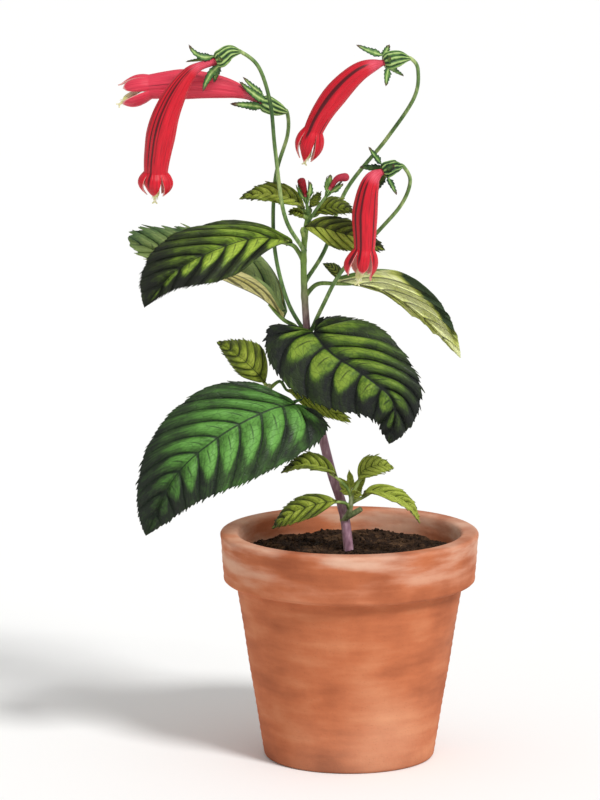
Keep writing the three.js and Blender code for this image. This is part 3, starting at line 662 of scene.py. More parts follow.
# Each outline gives places along the rib and the share of the full half width there.
HEART = [
    [0, 0], [-0.07, 0.26], [-0.03, 0.6], [0.13, 0.9], [0.36, 1], [0.6, 0.82], [0.82, 0.42], [0.94, 0.14],
    [1, 0],
]
WEDGE = [[0, 0], [0.06, 0.2], [0.19, 0.62], [0.4, 0.98], [0.62, 0.86], [0.82, 0.46], [0.94, 0.16], [1, 0]]


def step_up(value, low, high):
    """Rises smoothly from 0 to 1 while the value goes from low to high."""
    share = np.clip((value - low) / (high - low), 0, 1)
    return share * share * (3 - 2 * share)


def half_width(widths, along):
    """The half width as a vector: given once, or at 0, 0.4 and 0.8 of the rib with a parabola between."""
    widths = np.array(widths, float)
    if len(widths) == 1:
        return np.broadcast_to(widths[0], along.shape + (3,))
    a = np.clip(along, -0.05, 1)
    shares = [(a - 0.4) * (a - 0.8) / 0.32, a * (a - 0.8) / -0.16, a * (a - 0.4) / 0.32]
    return sum(share[..., None] * width for share, width in zip(shares, widths))


def teeth(run, pitch, depth, draws):
    """How far each point of the edge stands out, for teeth of uneven length."""
    count = int(run[-1] / pitch) + 2
    gaps = pitch * draws.uniform(0.65, 1.35, count + 2)
    starts = np.concatenate([[0], np.cumsum(gaps)])
    tooth = np.interp(run, starts, np.arange(len(starts)))
    index = tooth.astype(int)
    phase = tooth - index
    tall = (0.5 + draws.uniform(0, 1, len(starts)) ** 2)[index]
    rise = np.where(phase < TOOTH_TIP, (phase / TOOTH_TIP) ** 1.3, (1 - phase) / (1 - TOOTH_TIP))
    return depth * tall * rise


def blade(skin, outline, rib, left, right, rows, columns, seed, veins=(1.0, 6.5), sweep=(0.3, 0.3), quilt=0.2,
          tooth=(2.2, 1.2), tones=None, wave=0.4, keel=0.6):
    """Adds one blade, laid out on its rib. The rows of points follow the side veins out to the edge.

    veins is how many side veins start from the foot of the blade, and how many from its rib. sweep is how far
    forward they run on each half. tooth is the pitch and the depth of the teeth. quilt is how far the panels
    bulge, wave how far the edge waves, and keel how far the rib stands out below.
    """
    tones = tones or {}
    draws = np.random.default_rng(seed)
    spine = Spine(rib)
    vein = np.linspace(0, sum(veins), rows + 1)
    foot = np.maximum(0, vein - veins[0]) / veins[1]
    x = np.linspace(0, 1, columns + 1)
    s = 0.5 * x + 0.5 * np.sin(x * math.pi / 2)
    phase = (vein - np.floor(vein))[:, None]
    near_vein = 0.5 - np.abs(phase - 0.5)
    panel = spine.length / veins[1]
    halves = []
    for widths, turn, name, forward_run in ((left, 1, "left", sweep[0]), (right, -1, "right", sweep[1])):
        t = np.linspace(0, 1, 2000)
        along, across = smooth(outline, t).T
        # t is the place on the outline where each row of points ends.
        starts = np.clip(along - forward_run * across, 0, 1)
        first = t[np.argmax(starts > 0)]
        t = np.interp(vein, veins[0] * np.minimum(1, t / first) + veins[1] * starts + 1e-9 * t, t)
        along, across = smooth(outline, t).T
        across = np.maximum(across, 0)
        a = foot[:, None] + (along - foot)[:, None] * (0.5 * s + 0.5 * s * s)
        reach = across[:, None] * s
        centre, ahead = spine.at(a)
        face = unit(np.cross(ahead, unit(half_width(left, a)) - unit(half_width(right, a))))
        width = half_width(widths, a)
        wide = np.linalg.norm(width, axis=-1)
        # A flat half, arched across, and then pushed out along its normal by its panels and waves.
        points = centre + width * reach[..., None]
        points = points + face * (wide * 4 * s * (1 - s) * across[:, None] * BLADE_ARCH)[..., None]
        own = unit(np.cross(np.gradient(points, axis=0), np.gradient(points, axis=1))) * turn
        share = np.minimum(1, reach * 4)[..., None]
        normal = unit(face * (1 - share) + own * share)
        bulge = np.sin(np.pi * near_vein) ** 0.7
        fade = step_up(s, 0, 0.22) * (1 - 0.55 * s**2) * step_up(across, 0, 0.3)[:, None]
        ripple = wave * s**2 * (np.sin(math.pi * (vein + seed * 0.74)) * step_up(across, 0, 0.4))[:, None]
        groove = -RIB_GROOVE * np.exp(-((reach * wide / RIB_GROOVE_WIDTH) ** 2))
        relief = quilt * panel * (bulge - 0.55) * fade + ripple + groove
        points = points + normal * relief[..., None]
        edge = points[:, -1]
        run = np.concatenate([[0], np.cumsum(np.linalg.norm(np.diff(edge, axis=0), axis=1))])
        ends = np.minimum(step_up(t, 0.02, 0.1), 1 - 0.8 * step_up(t, 0.93, 1))
        cut = teeth(run, tooth[0], tooth[1], draws) + teeth(run, tooth[0] * 0.43, tooth[1] * 0.3, draws)
        cut = cut * ends * np.minimum(1, across * 3)
        outward = unit(edge - points[:, -3])
        forward = unit(np.gradient(edge, axis=0))
        weight = np.clip((s - TOOTHED_FROM) / (1 - TOOTHED_FROM), 0, 1)
        points = points + cut[:, None, None] * (outward + TOOTH_LEAN * forward)[:, None] * weight[:, None]
        thin = BLADE_THICKNESS / 2 * (1 - 0.5 * s**4)
        stands = VEIN_RIDGE * np.exp(-((near_vein * panel / VEIN_RIDGE_WIDTH) ** 2)) * (1 - s) ** 0.6 * fade
        main_rib = keel * np.exp(-((reach * wide / (0.7 * keel + 0.2)) ** 2)) * (1 - 0.75 * np.clip(a, 0, 1))
        tone = leaf_light_and_shade(phase, s, a, tones.get(name, {}), tones)
        upper = points + normal * thin[None, :, None]
        under = points - normal * (thin + stands + main_rib)[..., None]
        halves.append((upper, under, tone))
    (upper_left, under_left, tone_left), (upper_right, under_right, tone_right) = halves
    sheet = [upper_left[:, ::-1], upper_right[:, 1:], under_right[:, ::-1], under_left[:, 1:]]
    shades = [tone_left[:, ::-1], tone_right[:, 1:], tone_right[:, ::-1], tone_left[:, 1:]]
    below = np.repeat([0.0, 1.0], 2 * columns + 1)
    reach_uv = np.concatenate([s[::-1], -s[1:], -s[::-1], s[1:], [1.0]])
    uv = np.stack(np.broadcast_arrays(vein[:, None], reach_uv[None, :]), -1)
    skin.grid(np.concatenate(sheet, 1), uv, tone=np.concatenate(shades, 1), under=below)


def leaf_light_and_shade(phase, s, a, half, whole):
    """How light each place of the blade is before the fine pattern: 0 is dark and 1 is light.

    This is painted light and shade. level is the painted tone near the rib, further out and at the rim, and
    zone is where the outer one begins. round bends that zone round each panel, and window keeps it to one
    stretch of the rib.
    contrast paints each panel light on one side and dark toward its veins, as lit from one side, and shade
    paints shade beside the rib. tip and base paint the two ends darker.
    """
    inner, outer, rim = half.get("level", (0.7, 0.45, 0.45))
    panel = np.sin(math.pi * phase ** half.get("lean", 0.75))
    out = step_up(s + half.get("round", 0.25) * (1 - panel), *half.get("zone", (0.45, 0.85)))
    if "window" in half:
        first, last = half["window"]
        out = out * step_up(a, first - 0.1, first + 0.1) * (1 - step_up(a, last - 0.1, last + 0.1))
    level = inner + (outer - inner) * out + (rim - outer) * step_up(s, 0.86, 0.96)
    level = level + half.get("contrast", 0.45) * (panel - 0.62) * (1 - 0.5 * out)
    level = level - half.get("shade", 0.1) * (1 - step_up(s, 0.0, 0.3))
    level = level - whole.get("tip", 0.3) * step_up(a, whole.get("tip_from", 0.6), 1.0)
    level = level - whole.get("base", 0.1) * step_up(-a, -whole.get("base_to", 0.12), 0.05)
    return np.clip(level, whole.get("floor", 0), 1)


def leaf_finish(name, upper, under, vein_upper, vein_under):
    """A leaf's two faces. upper and under are colours from dark to light, picked by painted light and shade.
    """
    finish = Finish(name, 0.46, 0.22)
    vein, reach = finish.both_ways()
    out = finish.math("ABSOLUTE", reach)
    phase = finish.math("FRACT", vein)
    near = finish.math("SUBTRACT", 0.5, finish.math("ABSOLUTE", finish.math("SUBTRACT", phase, 0.5)))
    wide = finish.between(out, 0.0, 1.0, 0.1, 0.03)
    line = finish.math("SUBTRACT", 1.0, finish.between(finish.math("DIVIDE", near, wide), 0.3, 1.0))
    line = finish.times(line, finish.between(out, 0.9, 1.0, 1.0, 0.3))
    rib = finish.between(out, 0.012, 0.035, 1.0, 0.0)
    veins = finish.math("MAXIMUM", line, rib)
    bent = finish.math("MULTIPLY_ADD", out, 0.5, finish.math("SUBTRACT", phase, 0.6))
    branch = finish.between(finish.math("ABSOLUTE", bent), 0.015, 0.045, 1.0, 0.0)
    started = finish.between(out, 0.06, 0.16)
    ended = finish.between(out, 0.3, 0.5, 1.0, 0.0)
    branch = finish.times(branch, finish.times(started, ended))
    cells = finish.stretched(vein, reach, 2.4, 10.0)
    net, fine_net = (
        finish.add("TexVoronoi", {
            "Vector": cells, "Scale": scale, "Randomness": uneven,
        }, feature="DISTANCE_TO_EDGE", voronoi_dimensions="2D").outputs["Distance"]
        for scale, uneven in ((1.0, 0.85), (3.1, 1.0))
    )
    fine_net = finish.between(fine_net, 0.02, 0.1, 1.0, 0.0)
    net = finish.between(net, 0.02, 0.09, 1.0, 0.0)
    strokes = finish.noise(1.0, 3, finish.stretched(vein, reach, 9.0, 5.0))
    cloud = finish.noise(140, 3)
    # The tone layer is the blade's painted light and shade, roughened by cloud and strokes of random tone.
    tone = finish.plus(finish.layer("tone"), finish.between(cloud, 0.3, 0.7, -0.12, 0.12))
    tone = finish.plus(tone, finish.between(strokes, 0.3, 0.7, -0.12, 0.12))
    evenly = np.linspace(0, 1, len(upper))
    top = finish.ramp(tone, evenly, upper)
    top = finish.mix(finish.times(net, 0.24), top, upper[0])
    top = finish.mix(finish.times(fine_net, 0.1), top, upper[0])
    top = finish.mix(finish.times(branch, 0.6), top, vein_upper)
    # The dark vein lines on the upper face are partly the veins' own colour and partly painted shade in their
    # valleys.
    top = finish.mix(finish.times(veins, 0.85), top, vein_upper)
    below = finish.ramp(tone, evenly, under)
    below = finish.mix(finish.times(net, 0.25), below, vein_under)
    below = finish.mix(finish.times(veins, 0.8), below, vein_under)
    finish.colour(finish.mix(finish.layer("under"), top, below))
    dents = finish.plus(finish.times(net, -0.5), finish.times(fine_net, -0.25))
    dents = finish.plus(dents, finish.times(branch, -0.6))
    dents = finish.plus(dents, finish.times(finish.noise(600, 3), 0.5))
    finish.bump(dents, 0.18)
    return finish.material


pale_under = palette((96, 108, 50), (140, 150, 76), (184, 192, 110), (208, 214, 146))
olive_vein = screen(112, 120, 60)
old_leaf = leaf_finish(
    "old_leaf", palette((30, 38, 28), (50, 74, 36), (76, 122, 50), (104, 160, 72)), pale_under,
    screen(24, 38, 24), olive_vein,
)
front_leaf = leaf_finish(
    "front_leaf", palette((28, 32, 28), (46, 60, 30), (84, 112, 36), (132, 158, 56)), pale_under,
    screen(24, 28, 26), olive_vein,
)
lime_leaf = leaf_finish(
    "lime_leaf", palette((28, 32, 24), (52, 66, 26), (104, 132, 40), (160, 186, 66)), pale_under,
    screen(26, 32, 22), screen(104, 108, 52),
)
teal_leaf = leaf_finish(
    "teal_leaf", palette((28, 40, 42), (52, 78, 56), (98, 126, 74), (138, 158, 92)),
    palette((40, 50, 40), (150, 144, 78), (214, 204, 122), (240, 232, 160)),
    screen(28, 40, 40), screen(54, 54, 38),
)
arching_leaf = leaf_finish(
    "arching_leaf", palette((26, 42, 28), (42, 66, 36), (74, 104, 48), (104, 134, 62)),
    palette((54, 72, 44), (168, 178, 84), (220, 228, 126), (246, 250, 186)),
    screen(32, 48, 32), screen(34, 34, 30),
)
young_leaf = leaf_finish(
    "young_leaf", palette((40, 44, 24), (78, 88, 30), (132, 148, 44), (178, 192, 78)), pale_under,
    screen(44, 48, 24), screen(112, 112, 52),
)
petiole_skin = stem_finish("petiole_skin", palette((70, 96, 46), (120, 146, 72), (178, 194, 110)))
LARGE = {"outline": WEDGE, "rows": 340, "columns": 24, "thick": 0.9}
SMALL = {
    "outline": WEDGE, "coat": young_leaf, "thick": 0.7, "rows": 180, "columns": 12, "tooth": (1.8, 1.0),
    "wave": 0.15, "keel": 0.35, "quilt": 0.26,
}
TINY = {**SMALL, "rows": 84, "columns": 8}
# stem is the way of the leaf's stalk and rib the middle line of its blade, both from the stem outwards. left
# and right are the half width there, and thick is the radius of the stalk. tones set the painted light and
# shade of each half and of the tip and base.
leaves = {
    "leaf_low_left": {
        **LARGE,
        "outline": HEART,
        "coat": old_leaf,
        "thick": 1.2,
        "stem": [[-11.9, 3, 130.8], [-15.4, -7.4, 134.6]],
        "rib": [
            [-21, -12, 139.7], [-31.7, -19, 138.2], [-49.1, -27, 130], [-65.9, -31, 115.4],
            [-77.4, -27, 91.4],
        ],
        "left": [[14.9, -3, -17.6], [10.1, -6, -16.3], [14.8, -4, -10.1]],
        "right": [[-7.5, 3, 4], [-9, 8, 15.1], [-19.7, 5, 9.3]],
        "veins": (2.4, 8.6),
        "sweep": (0.2, 0.42),
        "tooth": (2.2, 1.4),
        "tones": {
            "left": {"level": (0.85, 0.2, 0.3), "zone": (0.58, 0.84), "round": 0.45, "contrast": 0.35},
            "right": {"level": (0.7, 0.36, 0.22), "contrast": 0.4, "shade": 0.05},
            "tip": 0.75,
            "tip_from": 0.45,
        },
    },
    "leaf_front_right": {
        **LARGE,
        "outline": HEART,
        "coat": front_leaf,
        "thick": 1.1,
        "veins": (3.0, 6.6),
        "sweep": (0.55, 0.2),
        "quilt": 0.27,
        "tooth": (3.0, 1.6),
        "stem": [[-15.8, 1.8, 160], [-15.2, -4, 164]],
        "rib": [
            [-13.8, -9, 166.7], [-6.8, -19, 160.2], [5.9, -27, 152.8], [16.2, -31, 143.1],
            [14.5, -27, 126.7],
        ],
        "left": [[12, 6, 6.9], [11.3, 9, 12.3], [18.4, 5, 2.1]],
        "right": [[-26.3, 4, -3.1], [-15.3, 3, -13.1], [-13.2, 4, -6.7]],
        "tones": {
            "left": {"level": (0.72, 0.42, 0.32), "contrast": 0.5, "zone": (0.6, 0.95), "shade": 0.5},
            "right": {"level": (0.85, 0.12, 0.2), "contrast": 0.45, "zone": (0.5, 0.78), "round": 0.4},
            "tip": 0.6,
            "tip_from": 0.4,
            "base": 0.35,
        },
    },
    "leaf_mid_left": {
        **LARGE,
        "coat": lime_leaf,
        "tooth": (1.6, 1.3),
        "stem": [[-17.4, 0.7, 192.2], [-19.8, 1, 196.4]],
        "rib": [
            [-21.6, 1, 199.8], [-34, -8, 202.9], [-48.8, -17, 200.3], [-65.8, -22, 192.1],
            [-77.7, -20, 177.7],
        ],
        "left": [[0.9, -3, -3.2], [2.5, -8, -10.2], [5.4, -4, -6.8]],
        "right": [[-0.9, 4, 1.8], [-2.2, 8, 7.8], [-14.9, 5, 11.8]],
        "veins": (0.9, 7.2),
        "sweep": (0.25, 0.5),
        "tones": {
            "left": {"level": (0.9, 0.22, 0.3), "contrast": 0.5, "zone": (0.5, 0.8), "round": 0.5},
            "right": {"level": (0.64, 0.46, 0.36), "contrast": 0.42},
            "tip": 0.6,
            "tip_from": 0.4,
        },
    },
    "leaf_back_left": {
        **LARGE,
        "coat": teal_leaf,
        "tooth": (4.0, 2.8),
        "sweep": (0.7, 0.4),
        "stem": [[-16.1, 2, 161.6], [-20.7, 6, 166.4]],
        "rib": [
            [-24.6, 5, 170.5], [-33.1, 12, 177.3], [-47.3, 22, 182.5], [-67.2, 30, 189.6],
            [-85.7, 33, 196.2],
        ],
        "left": [[1.8, -4, 3.1], [2, -12, 6], [-2.8, -8, -6.5]],
        "right": [[4.8, 5, 3.5], [10.8, 12, 9.3], [-4.6, 6, 17.6]],
        "tones": {
            "left": {"level": (1.35, 1.25, 1.25), "contrast": 0.5},
            "right": {"level": (1.1, 0.9, 0.8)},
            "tip": 0.3,
            "tip_from": 0.5,
            "base": 0.45,
            "base_to": 0.4,
        },
    },
    "leaf_right_arching": {
        **LARGE,
        "coat": arching_leaf,
        "tooth": (1.7, 0.4),
        "veins": (1.0, 6),
        "sweep": (0.5, 0.85),
        "quilt": 0.12,
        "stem": [[-17.3, 1, 178.9], [-12.6, 2, 183.4]],
        "rib": [[-6.6, 5, 184.4], [8.5, 12, 181.9], [19.7, 17, 175.9], [32.2, 20, 165.4], [43.1, 18, 152.5]],
        "left": [[-0.3, 2, -1.5], [-1.2, 6, -2.9], [-2.8, 5, -3.1]],
        "right": [[1.5, -3, 4.1], [3.6, -6, 8.2], [8.4, -6, 8.2]],
        "tones": {
            "left": {"level": (0.8, 0.7, 0.7), "contrast": 0.3},
            # On this half a painted shade strip runs along the outer edge, where the upper face turns away
            # from the light.
            "right": {
                "level": (0.95, -0.2, -0.2),
                "contrast": 0.12,
                "zone": (0.73, 0.9),
                "round": 0,
                "window": (0.38, 0.88),
            },
            "floor": -0.2,
            "tip": 0.0,
            "base": 0.0,
        },
    },
    "leaf_top_right": {
        **SMALL,
        "thick": 0.9,
        "stem": [[-17.2, -0.2, 201.4], [-18.2, -3, 205]],
        "rib": [[-17.4, -4, 206.5], [-11.5, -7, 206.9], [-4.4, -9, 205.1], [5.1, -9, 202.4], [13.5, -7, 198]],
        "left": [[1.2, 4, 4.8]],
        "right": [[-1.2, -4, -5.7]],
        "veins": (1.0, 8),
        "tones": {
            "left": {"level": (0.35, 0.25, 0.2)},
            "right": {"level": (0.95, 0.7, 0.4), "contrast": 0.6},
        },
    },
    "leaf_top_left": {
        **SMALL,
        "thick": 0.9,
        "stem": [[-16, -0.8, 209.2], [-17.2, 0.4, 211.4]],
        "rib": [
            [-16.9, 1, 213], [-21.6, -2, 216.8], [-28.7, -5, 219], [-35.2, -6, 219.1], [-42.1, -5, 217.5],
        ],
        "left": [[0.6, -5, -2.6]],
        "right": [[0, 5, 3.8]],
        "veins": (1.0, 7.5),
        "tones": {"left": {"level": (1.0, 0.75, 0.45)}, "right": {"level": (0.85, 0.6, 0.4)}},
    },
    "leaf_top_folded": {
        **TINY,
        "thick": 0.9,
        "stem": [[-16, -0.8, 209.2]],
        "rib": [[-17.6, -2.6, 210.6], [-19.2, -4.4, 212.2], [-21.2, -5.4, 212.8], [-23.4, -5.6, 212.2]],
        "left": [[0.6, -2, -2.1]],
        "right": [[0.3, -2, 1.2]],
    },
    "leaf_top_young": {
        **SMALL,
        "thick": 0.9,
        "stem": [[-16.3, -0.6, 206.8], [-15.3, 0.4, 209.6]],
        "rib": [[-14, 0, 211], [-10.3, -1.6, 213.1], [-5, -4, 213.7], [1.3, -6, 212.5]],
        "left": [[0.6, 4, 3.4]],
        "right": [[-0.3, -3, -2.3]],
    },
    "leaf_tip": {
        **TINY,
        "stem": [[-15.6, -1, 211.2], [-15, 0.4, 212.2]],
        "rib": [[-14.9, 1.2, 213], [-14, 2.6, 214.8], [-13, 3, 216.6], [-11.8, 2.4, 218.6]],
        "left": [[-1.2, -1, 0.7]],
        "right": [[1.8, 1, -0.7]],
    },
    "leaf_side_left": {
        **SMALL,
        "stem": [[-30.9, -1.2, 143.6]],
        "rib": [[-32.2, -2, 146.1], [-36.5, -5, 151.5], [-43.1, -8, 158.1], [-50.5, -10, 163.2]],
        "left": [[-3, -2, -3.9]],
        "right": [[5.4, 3, 5.6]],
    },
    "leaf_side_right": {
        **SMALL,
        "stem": [[-30.8, -1.2, 143.6], [-26.7, -2, 146.6]],
        "rib": [[-24, -3, 143.7], [-17.1, -3, 140.4], [-8.1, -4, 136], [0.6, -5, 131.2]],
        "left": [[1.5, 2, 3.6]],
        "right": [[-0.9, -1, -3.2]],
        "veins": (1.0, 8),
        "tooth": (1.8, 1.5),
        "tones": {"left": {"level": (1.0, 0.9, 0.7)}, "right": {"level": (1.0, 1.0, 1.0)}, "tip": 0.1},
    },
    "leaf_base_upper_left": {
        **SMALL,
        "stem": [[0.6, -6.2, 102.1], [-1.2, -8.4, 106.6]],
        "rib": [[-4.8, -9.6, 111.6], [-10.2, -11, 114.6], [-18, -13, 116.2], [-26.4, -13, 113.5]],
        "left": [[0, -7, -0.2]],
        "right": [[0.6, 4, 4.1]],
    },
    "leaf_base_lower_left": {
        **SMALL,
        "stem": [[0, -4.4, 97.4], [-1.5, -7, 100.1]],
        "rib": [[-4.8, -9, 101.7], [-13.2, -13, 101], [-22.2, -15, 98.1], [-30, -14, 91.8]],
        "left": [[1.2, -4, -3.8]],
        "right": [[-0.9, 4, 3.5]],
    },
    "leaf_base_upper_right": {
        **SMALL,
        "stem": [[0.6, -6.6, 103.4], [2, -8.4, 106]],
        "rib": [[3, -9, 109.6], [5.3, -9, 113.6], [10.7, -10, 115.7], [17, -9, 114.5]],
        "left": [[-1.2, 3, 3.1]],
        "right": [[1.2, -3, -3.1]],
        "tones": {"left": {"level": (1.0, 0.9, 0.7)}, "right": {"level": (1.0, 0.9, 0.7)}, "tip": 0.2},
    },
    "leaf_base_lower_right": {
        **SMALL,
        "stem": [[0.6, -5.6, 100]],
        "rib": [[4.4, -7.4, 103.3], [9.2, -9, 105.4], [17.3, -10, 103.2], [23.3, -9, 99], [27.3, -7, 92.5]],
        "left": [[0.9, 3, 2.8]],
        "right": [[-0.7, -4, -1]],
        "tones": {"left": {"level": (1.0, 0.9, 0.8)}, "right": {"level": (1.0, 1.0, 0.9)}, "tip": -0.2},
    },
}
for i, (node, shape) in enumerate(leaves.items()):
    shape = dict(shape)
    coat = shape.pop("coat")
    route = shape.pop("stem")
    thick = shape.pop("thick")
    skin = Skin()
    blade(skin, seed=i + 1, **shape)
    if node == "leaf_right_arching":
        blade(
            skin, WEDGE, [[-4.6, 5.8, 184.2], [-4.2, 7.4, 186.4], [-6.6, 8, 189], [-10.5, 7.6, 190.8]],
            [[1.5, 0.4, 1.5]], [[-1.5, -0.4, -1.5]], 84, 8, 30, tooth=(1.6, 0.3), wave=0.1, keel=0.2,
            tones={"left": {"level": (0.2, 0.1, 0.1)}, "right": {"level": (0.3, 0.1, 0.1)}},
        )
    rib = Spine(shape["rib"])
    foot, ahead = rib.at([0, 0.12])
    sides = [unit(np.array(shape[half][0])) for half in ("right", "left")]
    foot = foot + (thick + PETIOLE_BELOW) * unit(np.cross(ahead[0], sides[0] - sides[1]))
    taper = [[0, thick], [0.6, thick * 0.85], [0.85, thick * 0.7], [1, 0.35]]
    stalk(skin, [*route, *foot], taper, flare=0.35)
    piece = skin.make(node.replace("leaf_", "blade_"), coat)
    stalks.run(piece, Sides=STALK_SIDES, Coat=petiole_skin)
    place_in_frame(piece, node)

# Side shoots
# Two short shoots carry smaller leaves. The stub of a cut stalk stands on the lower one, and its tip holds
# six leaves that are still opening.
SIDE_SHOOT = [[-11.6, 2.9, 128.1], [-18, 4, 129.2], [-26.1, 4, 133.2], [-31.5, 1, 139.2], [-30.6, -2, 145.2]]
BASE_SHOOT = [[-2.3, 0.8, 92], [-0.4, -3, 95.1], [0.6, -6, 100.8], [0.6, -7, 105.6]]
STUB = [[-1.2, -1.8, 93.6], [1.6, -3, 95.4], [4.4, -4.4, 97.4]]
SHOOT_TAPER = [[0, 1.2], [1, 0.9]]
# Each opening leaf has its rib and its half width, which leans the other way on the other side.
BUDDING = [
    ([[0.5, -6.9, 104.8], [0.4, -6.6, 107.6], [0.1, -6.6, 110.6], [-0.3, -7, 113.4]], [1.3, 0.7, 0]),
    ([[0.4, -6.6, 104], [-1.4, -6, 106.2], [-3, -5.6, 108.2], [-4.2, -5.4, 109.9]], [1.2, 0, 1.3]),
    ([[0.8, -6.6, 104.2], [2.8, -5.4, 106.2], [4.6, -4.8, 108.2], [6.3, -4.6, 109.9]], [1.2, 0, -1.3]),
    ([[0.6, -5, 101], [2.4, -2.8, 102.8], [3.8, -1.8, 104.4], [5.1, -1.4, 105.8]], [1.2, 0, -1.3]),
    ([[0.5, -7, 103.6], [-0.8, -8.4, 104.9], [-2.4, -9.1, 105.6], [-3.9, -9.2, 105.3]], [0.9, 0.4, 1.3]),
    ([[0.8, -7, 103.2], [2.2, -8.5, 104.2], [3.7, -9.2, 104.4], [5, -9.2, 103.7]], [0.9, -0.4, -1.3]),
]
shoot_skin = stem_finish("shoot_skin", palette((88, 104, 66), (142, 158, 106), (196, 204, 160)))
skin = Skin()
stalk(skin, SIDE_SHOOT, SHOOT_TAPER, flare=0.3)
shoot = skin.make("upper_shoot", shoot_skin)
stalks.run(shoot, Sides=STALK_SIDES, Coat=shoot_skin)
place_in_frame(shoot, "side_shoot")

skin = Skin()
stalk(skin, BASE_SHOOT, SHOOT_TAPER, flare=0.3)
stalk(skin, STUB, [[0, 1.2], [0.9, 1.1], [1, 1.0]])
light = {"level": (1.1, 1.0, 1.0)}
for i, (rib, (x, y, z)) in enumerate(BUDDING):
    blade(
        skin, WEDGE, rib, [[-x, y, -z]], [[x, y, z]], 72, 6, 40 + i, veins=(1, 4), tooth=(0.8, 0.2),
        tones={"left": light, "right": light, "tip": 0}, wave=0.1, keel=0.15,
    )
shoot = skin.make("lower_shoot", young_leaf)
stalks.run(shoot, Sides=STALK_SIDES, Coat=shoot_skin)
place_in_frame(shoot, "base_shoot")

# Flowers
# Each hangs from an arching stalk: a ribbed green ovary with five toothed sepals, a scarlet tube whose mouth
# is cut into five pointed lobes, and the stamens, joined in one pale column round the style.
OVARY_RIBS = 10
OVARY_SHAPE = [[0, 0.8], [0.3, 2.0], [0.75, 2.7], [0.9, 2.6], [1, 2]]
SEPAL_WIDTH = 2.9
SEPAL_TOOTH = 1.5
SEPAL_DISH = 0.22
TUBE_SHAPE = [[0, 1.4], [0.12, 1.6], [0.22, 2.6], [0.35, 3.8], [0.5, 4.7], [0.7, 5.5], [0.85, 5.1], [1, 4.5]]
LOBE_SHAPE = [[0, 0], [0.25, 1.5], [0.5, 1.9], [0.75, 1.0], [1, -1.1]]
LOBE_COLUMNS = 24
PETAL_WALL = 0.5
TUBE_DEPTH = 0.55
TUBE_GROOVE = 0.06
TUBE_FIVE_SIDED = 0.02
LOBE_GROOVE = 0.07
LOBE_SWELL = 0.06
STREAK_TAPER = 0.12
ANTHER_LENGTH = 7.5
ANTHER_SHAPE = [[0, 0.95], [0.1, 1.15], [0.35, 1.5], [0.6, 1.6], [0.74, 1.2], [0.8, 0.62], [1, 0.5]]
ANTHER_HAIRS = 26
HAIR_SEED = 7
STALK_RADIUS = 0.8


def closed(rings):
    """The rings with a point at the middle of each end."""
    ends = [np.broadcast_to(ring.mean(0), (1, *ring.shape)) for ring in (rings[0], rings[-1])]
    return np.concatenate([ends[0], rings, ends[1]])


def corolla(skin, spine, start, mouth, size, shoulder, bulge, opened, reaches, streaks_and_shade):
    """The tube and its lobes, hollow down to the middle of the tube.

    shoulder under 1 widens the tube sooner, and bulge swells the lobes. opened says how far each lobe opens,
    and reaches how long it is. Each streak has its place round the tube in tenths of a turn, where it starts
    and ends along the flower, its strength and its width. Most streaks are the flower's own dark stripes; the
    broad, strong ones on its shaded side are painted shade.
    """
    columns = 5 * LOBE_COLUMNS
    angle = np.arange(columns) / columns * 2 * math.pi
    turn = angle / (2 * math.pi) * 5
    # off is 0 on the middle line of a lobe and 1 in the cleft between two.
    off = np.abs(turn % 1 - 0.5) * 2
    flare, long = (np.array(table)[turn.astype(int)] for table in (opened, reaches))
    reach = 1 - 0.2 * off - 0.75 * off**4
    reach = reach * (1 + (long - 1) * (1 - off**2))
    groove = np.exp(-(((off - 1) / 0.16) ** 2)) + 0.55 * np.exp(-((off / 0.13) ** 2))
    sides = TUBE_FIVE_SIDED * np.cos(5 * angle + math.pi)

    def tube(shares, thinner):
        share = np.asarray(shares, float)[:, None]
        carved = 1 - TUBE_GROOVE * groove * step_up(share, 0.08, 0.35) + sides
        radius = profile(TUBE_SHAPE, share**shoulder) * size * carved - thinner
        place = np.broadcast_to(start + (mouth - start) * share, radius.shape)
        return spine.around(place, angle, radius), place, 0 * radius

    def lobes(shares, thinner):
        share = np.asarray(shares, float)[:, None]
        length = reach * share
        swell = 1 - LOBE_GROOVE * groove * (1 - 0.6 * share)
        swell = swell + LOBE_SWELL * (1 - off**2) * np.sin(math.pi * share)
        spread = (1 + (flare - 1) * length) ** 2
        radius = (TUBE_SHAPE[-1][1] + bulge * profile(LOBE_SHAPE, length)) * spread * size * (swell + sides)
        place = mouth + (1 - mouth) * length
        rim = 0.75 * step_up(share, 0.9, 1) + 0 * radius
        return spine.around(place, angle, radius - thinner), place, rim

    outside = [tube(np.linspace(0, 1, 96), 0), lobes(np.linspace(0, 1, 44)[1:], 0)]
    inside = [
        lobes(np.linspace(0.985, 0, 24), PETAL_WALL),
        tube(np.linspace(0.98, TUBE_DEPTH, 16), PETAL_WALL),
    ]
    rings, place, edge = (np.concatenate([part[k] for part in outside + inside]) for k in range(3))
    edge[sum(len(part[0]) for part in outside):] = 1
    place, edge = (np.concatenate([part[:1], part, part[-1:]]) for part in (place, edge))
    dark = np.zeros(place.shape)
    # Each streak darkens a band round the tube: faint ones are the flower's own stripes, broad strong ones
    # painted shade.
    for at, first, last, strength, wide in streaks_and_shade:
        away = np.abs((turn * 2 - at + 5) % 10 - 5)
        taper = step_up(place, first, first + STREAK_TAPER)
        taper = taper * (1 - step_up(place, last - STREAK_TAPER, last))
        dark = np.maximum(dark, strength * taper * np.exp(-((away / wide) ** 2)))
    along = np.concatenate([place, place[:, :1]], 1)
    uv = np.stack(np.broadcast_arrays(np.linspace(0, 10, columns + 1), along), -1)
    skin.grid(closed(rings), uv, under=edge, tone=dark)


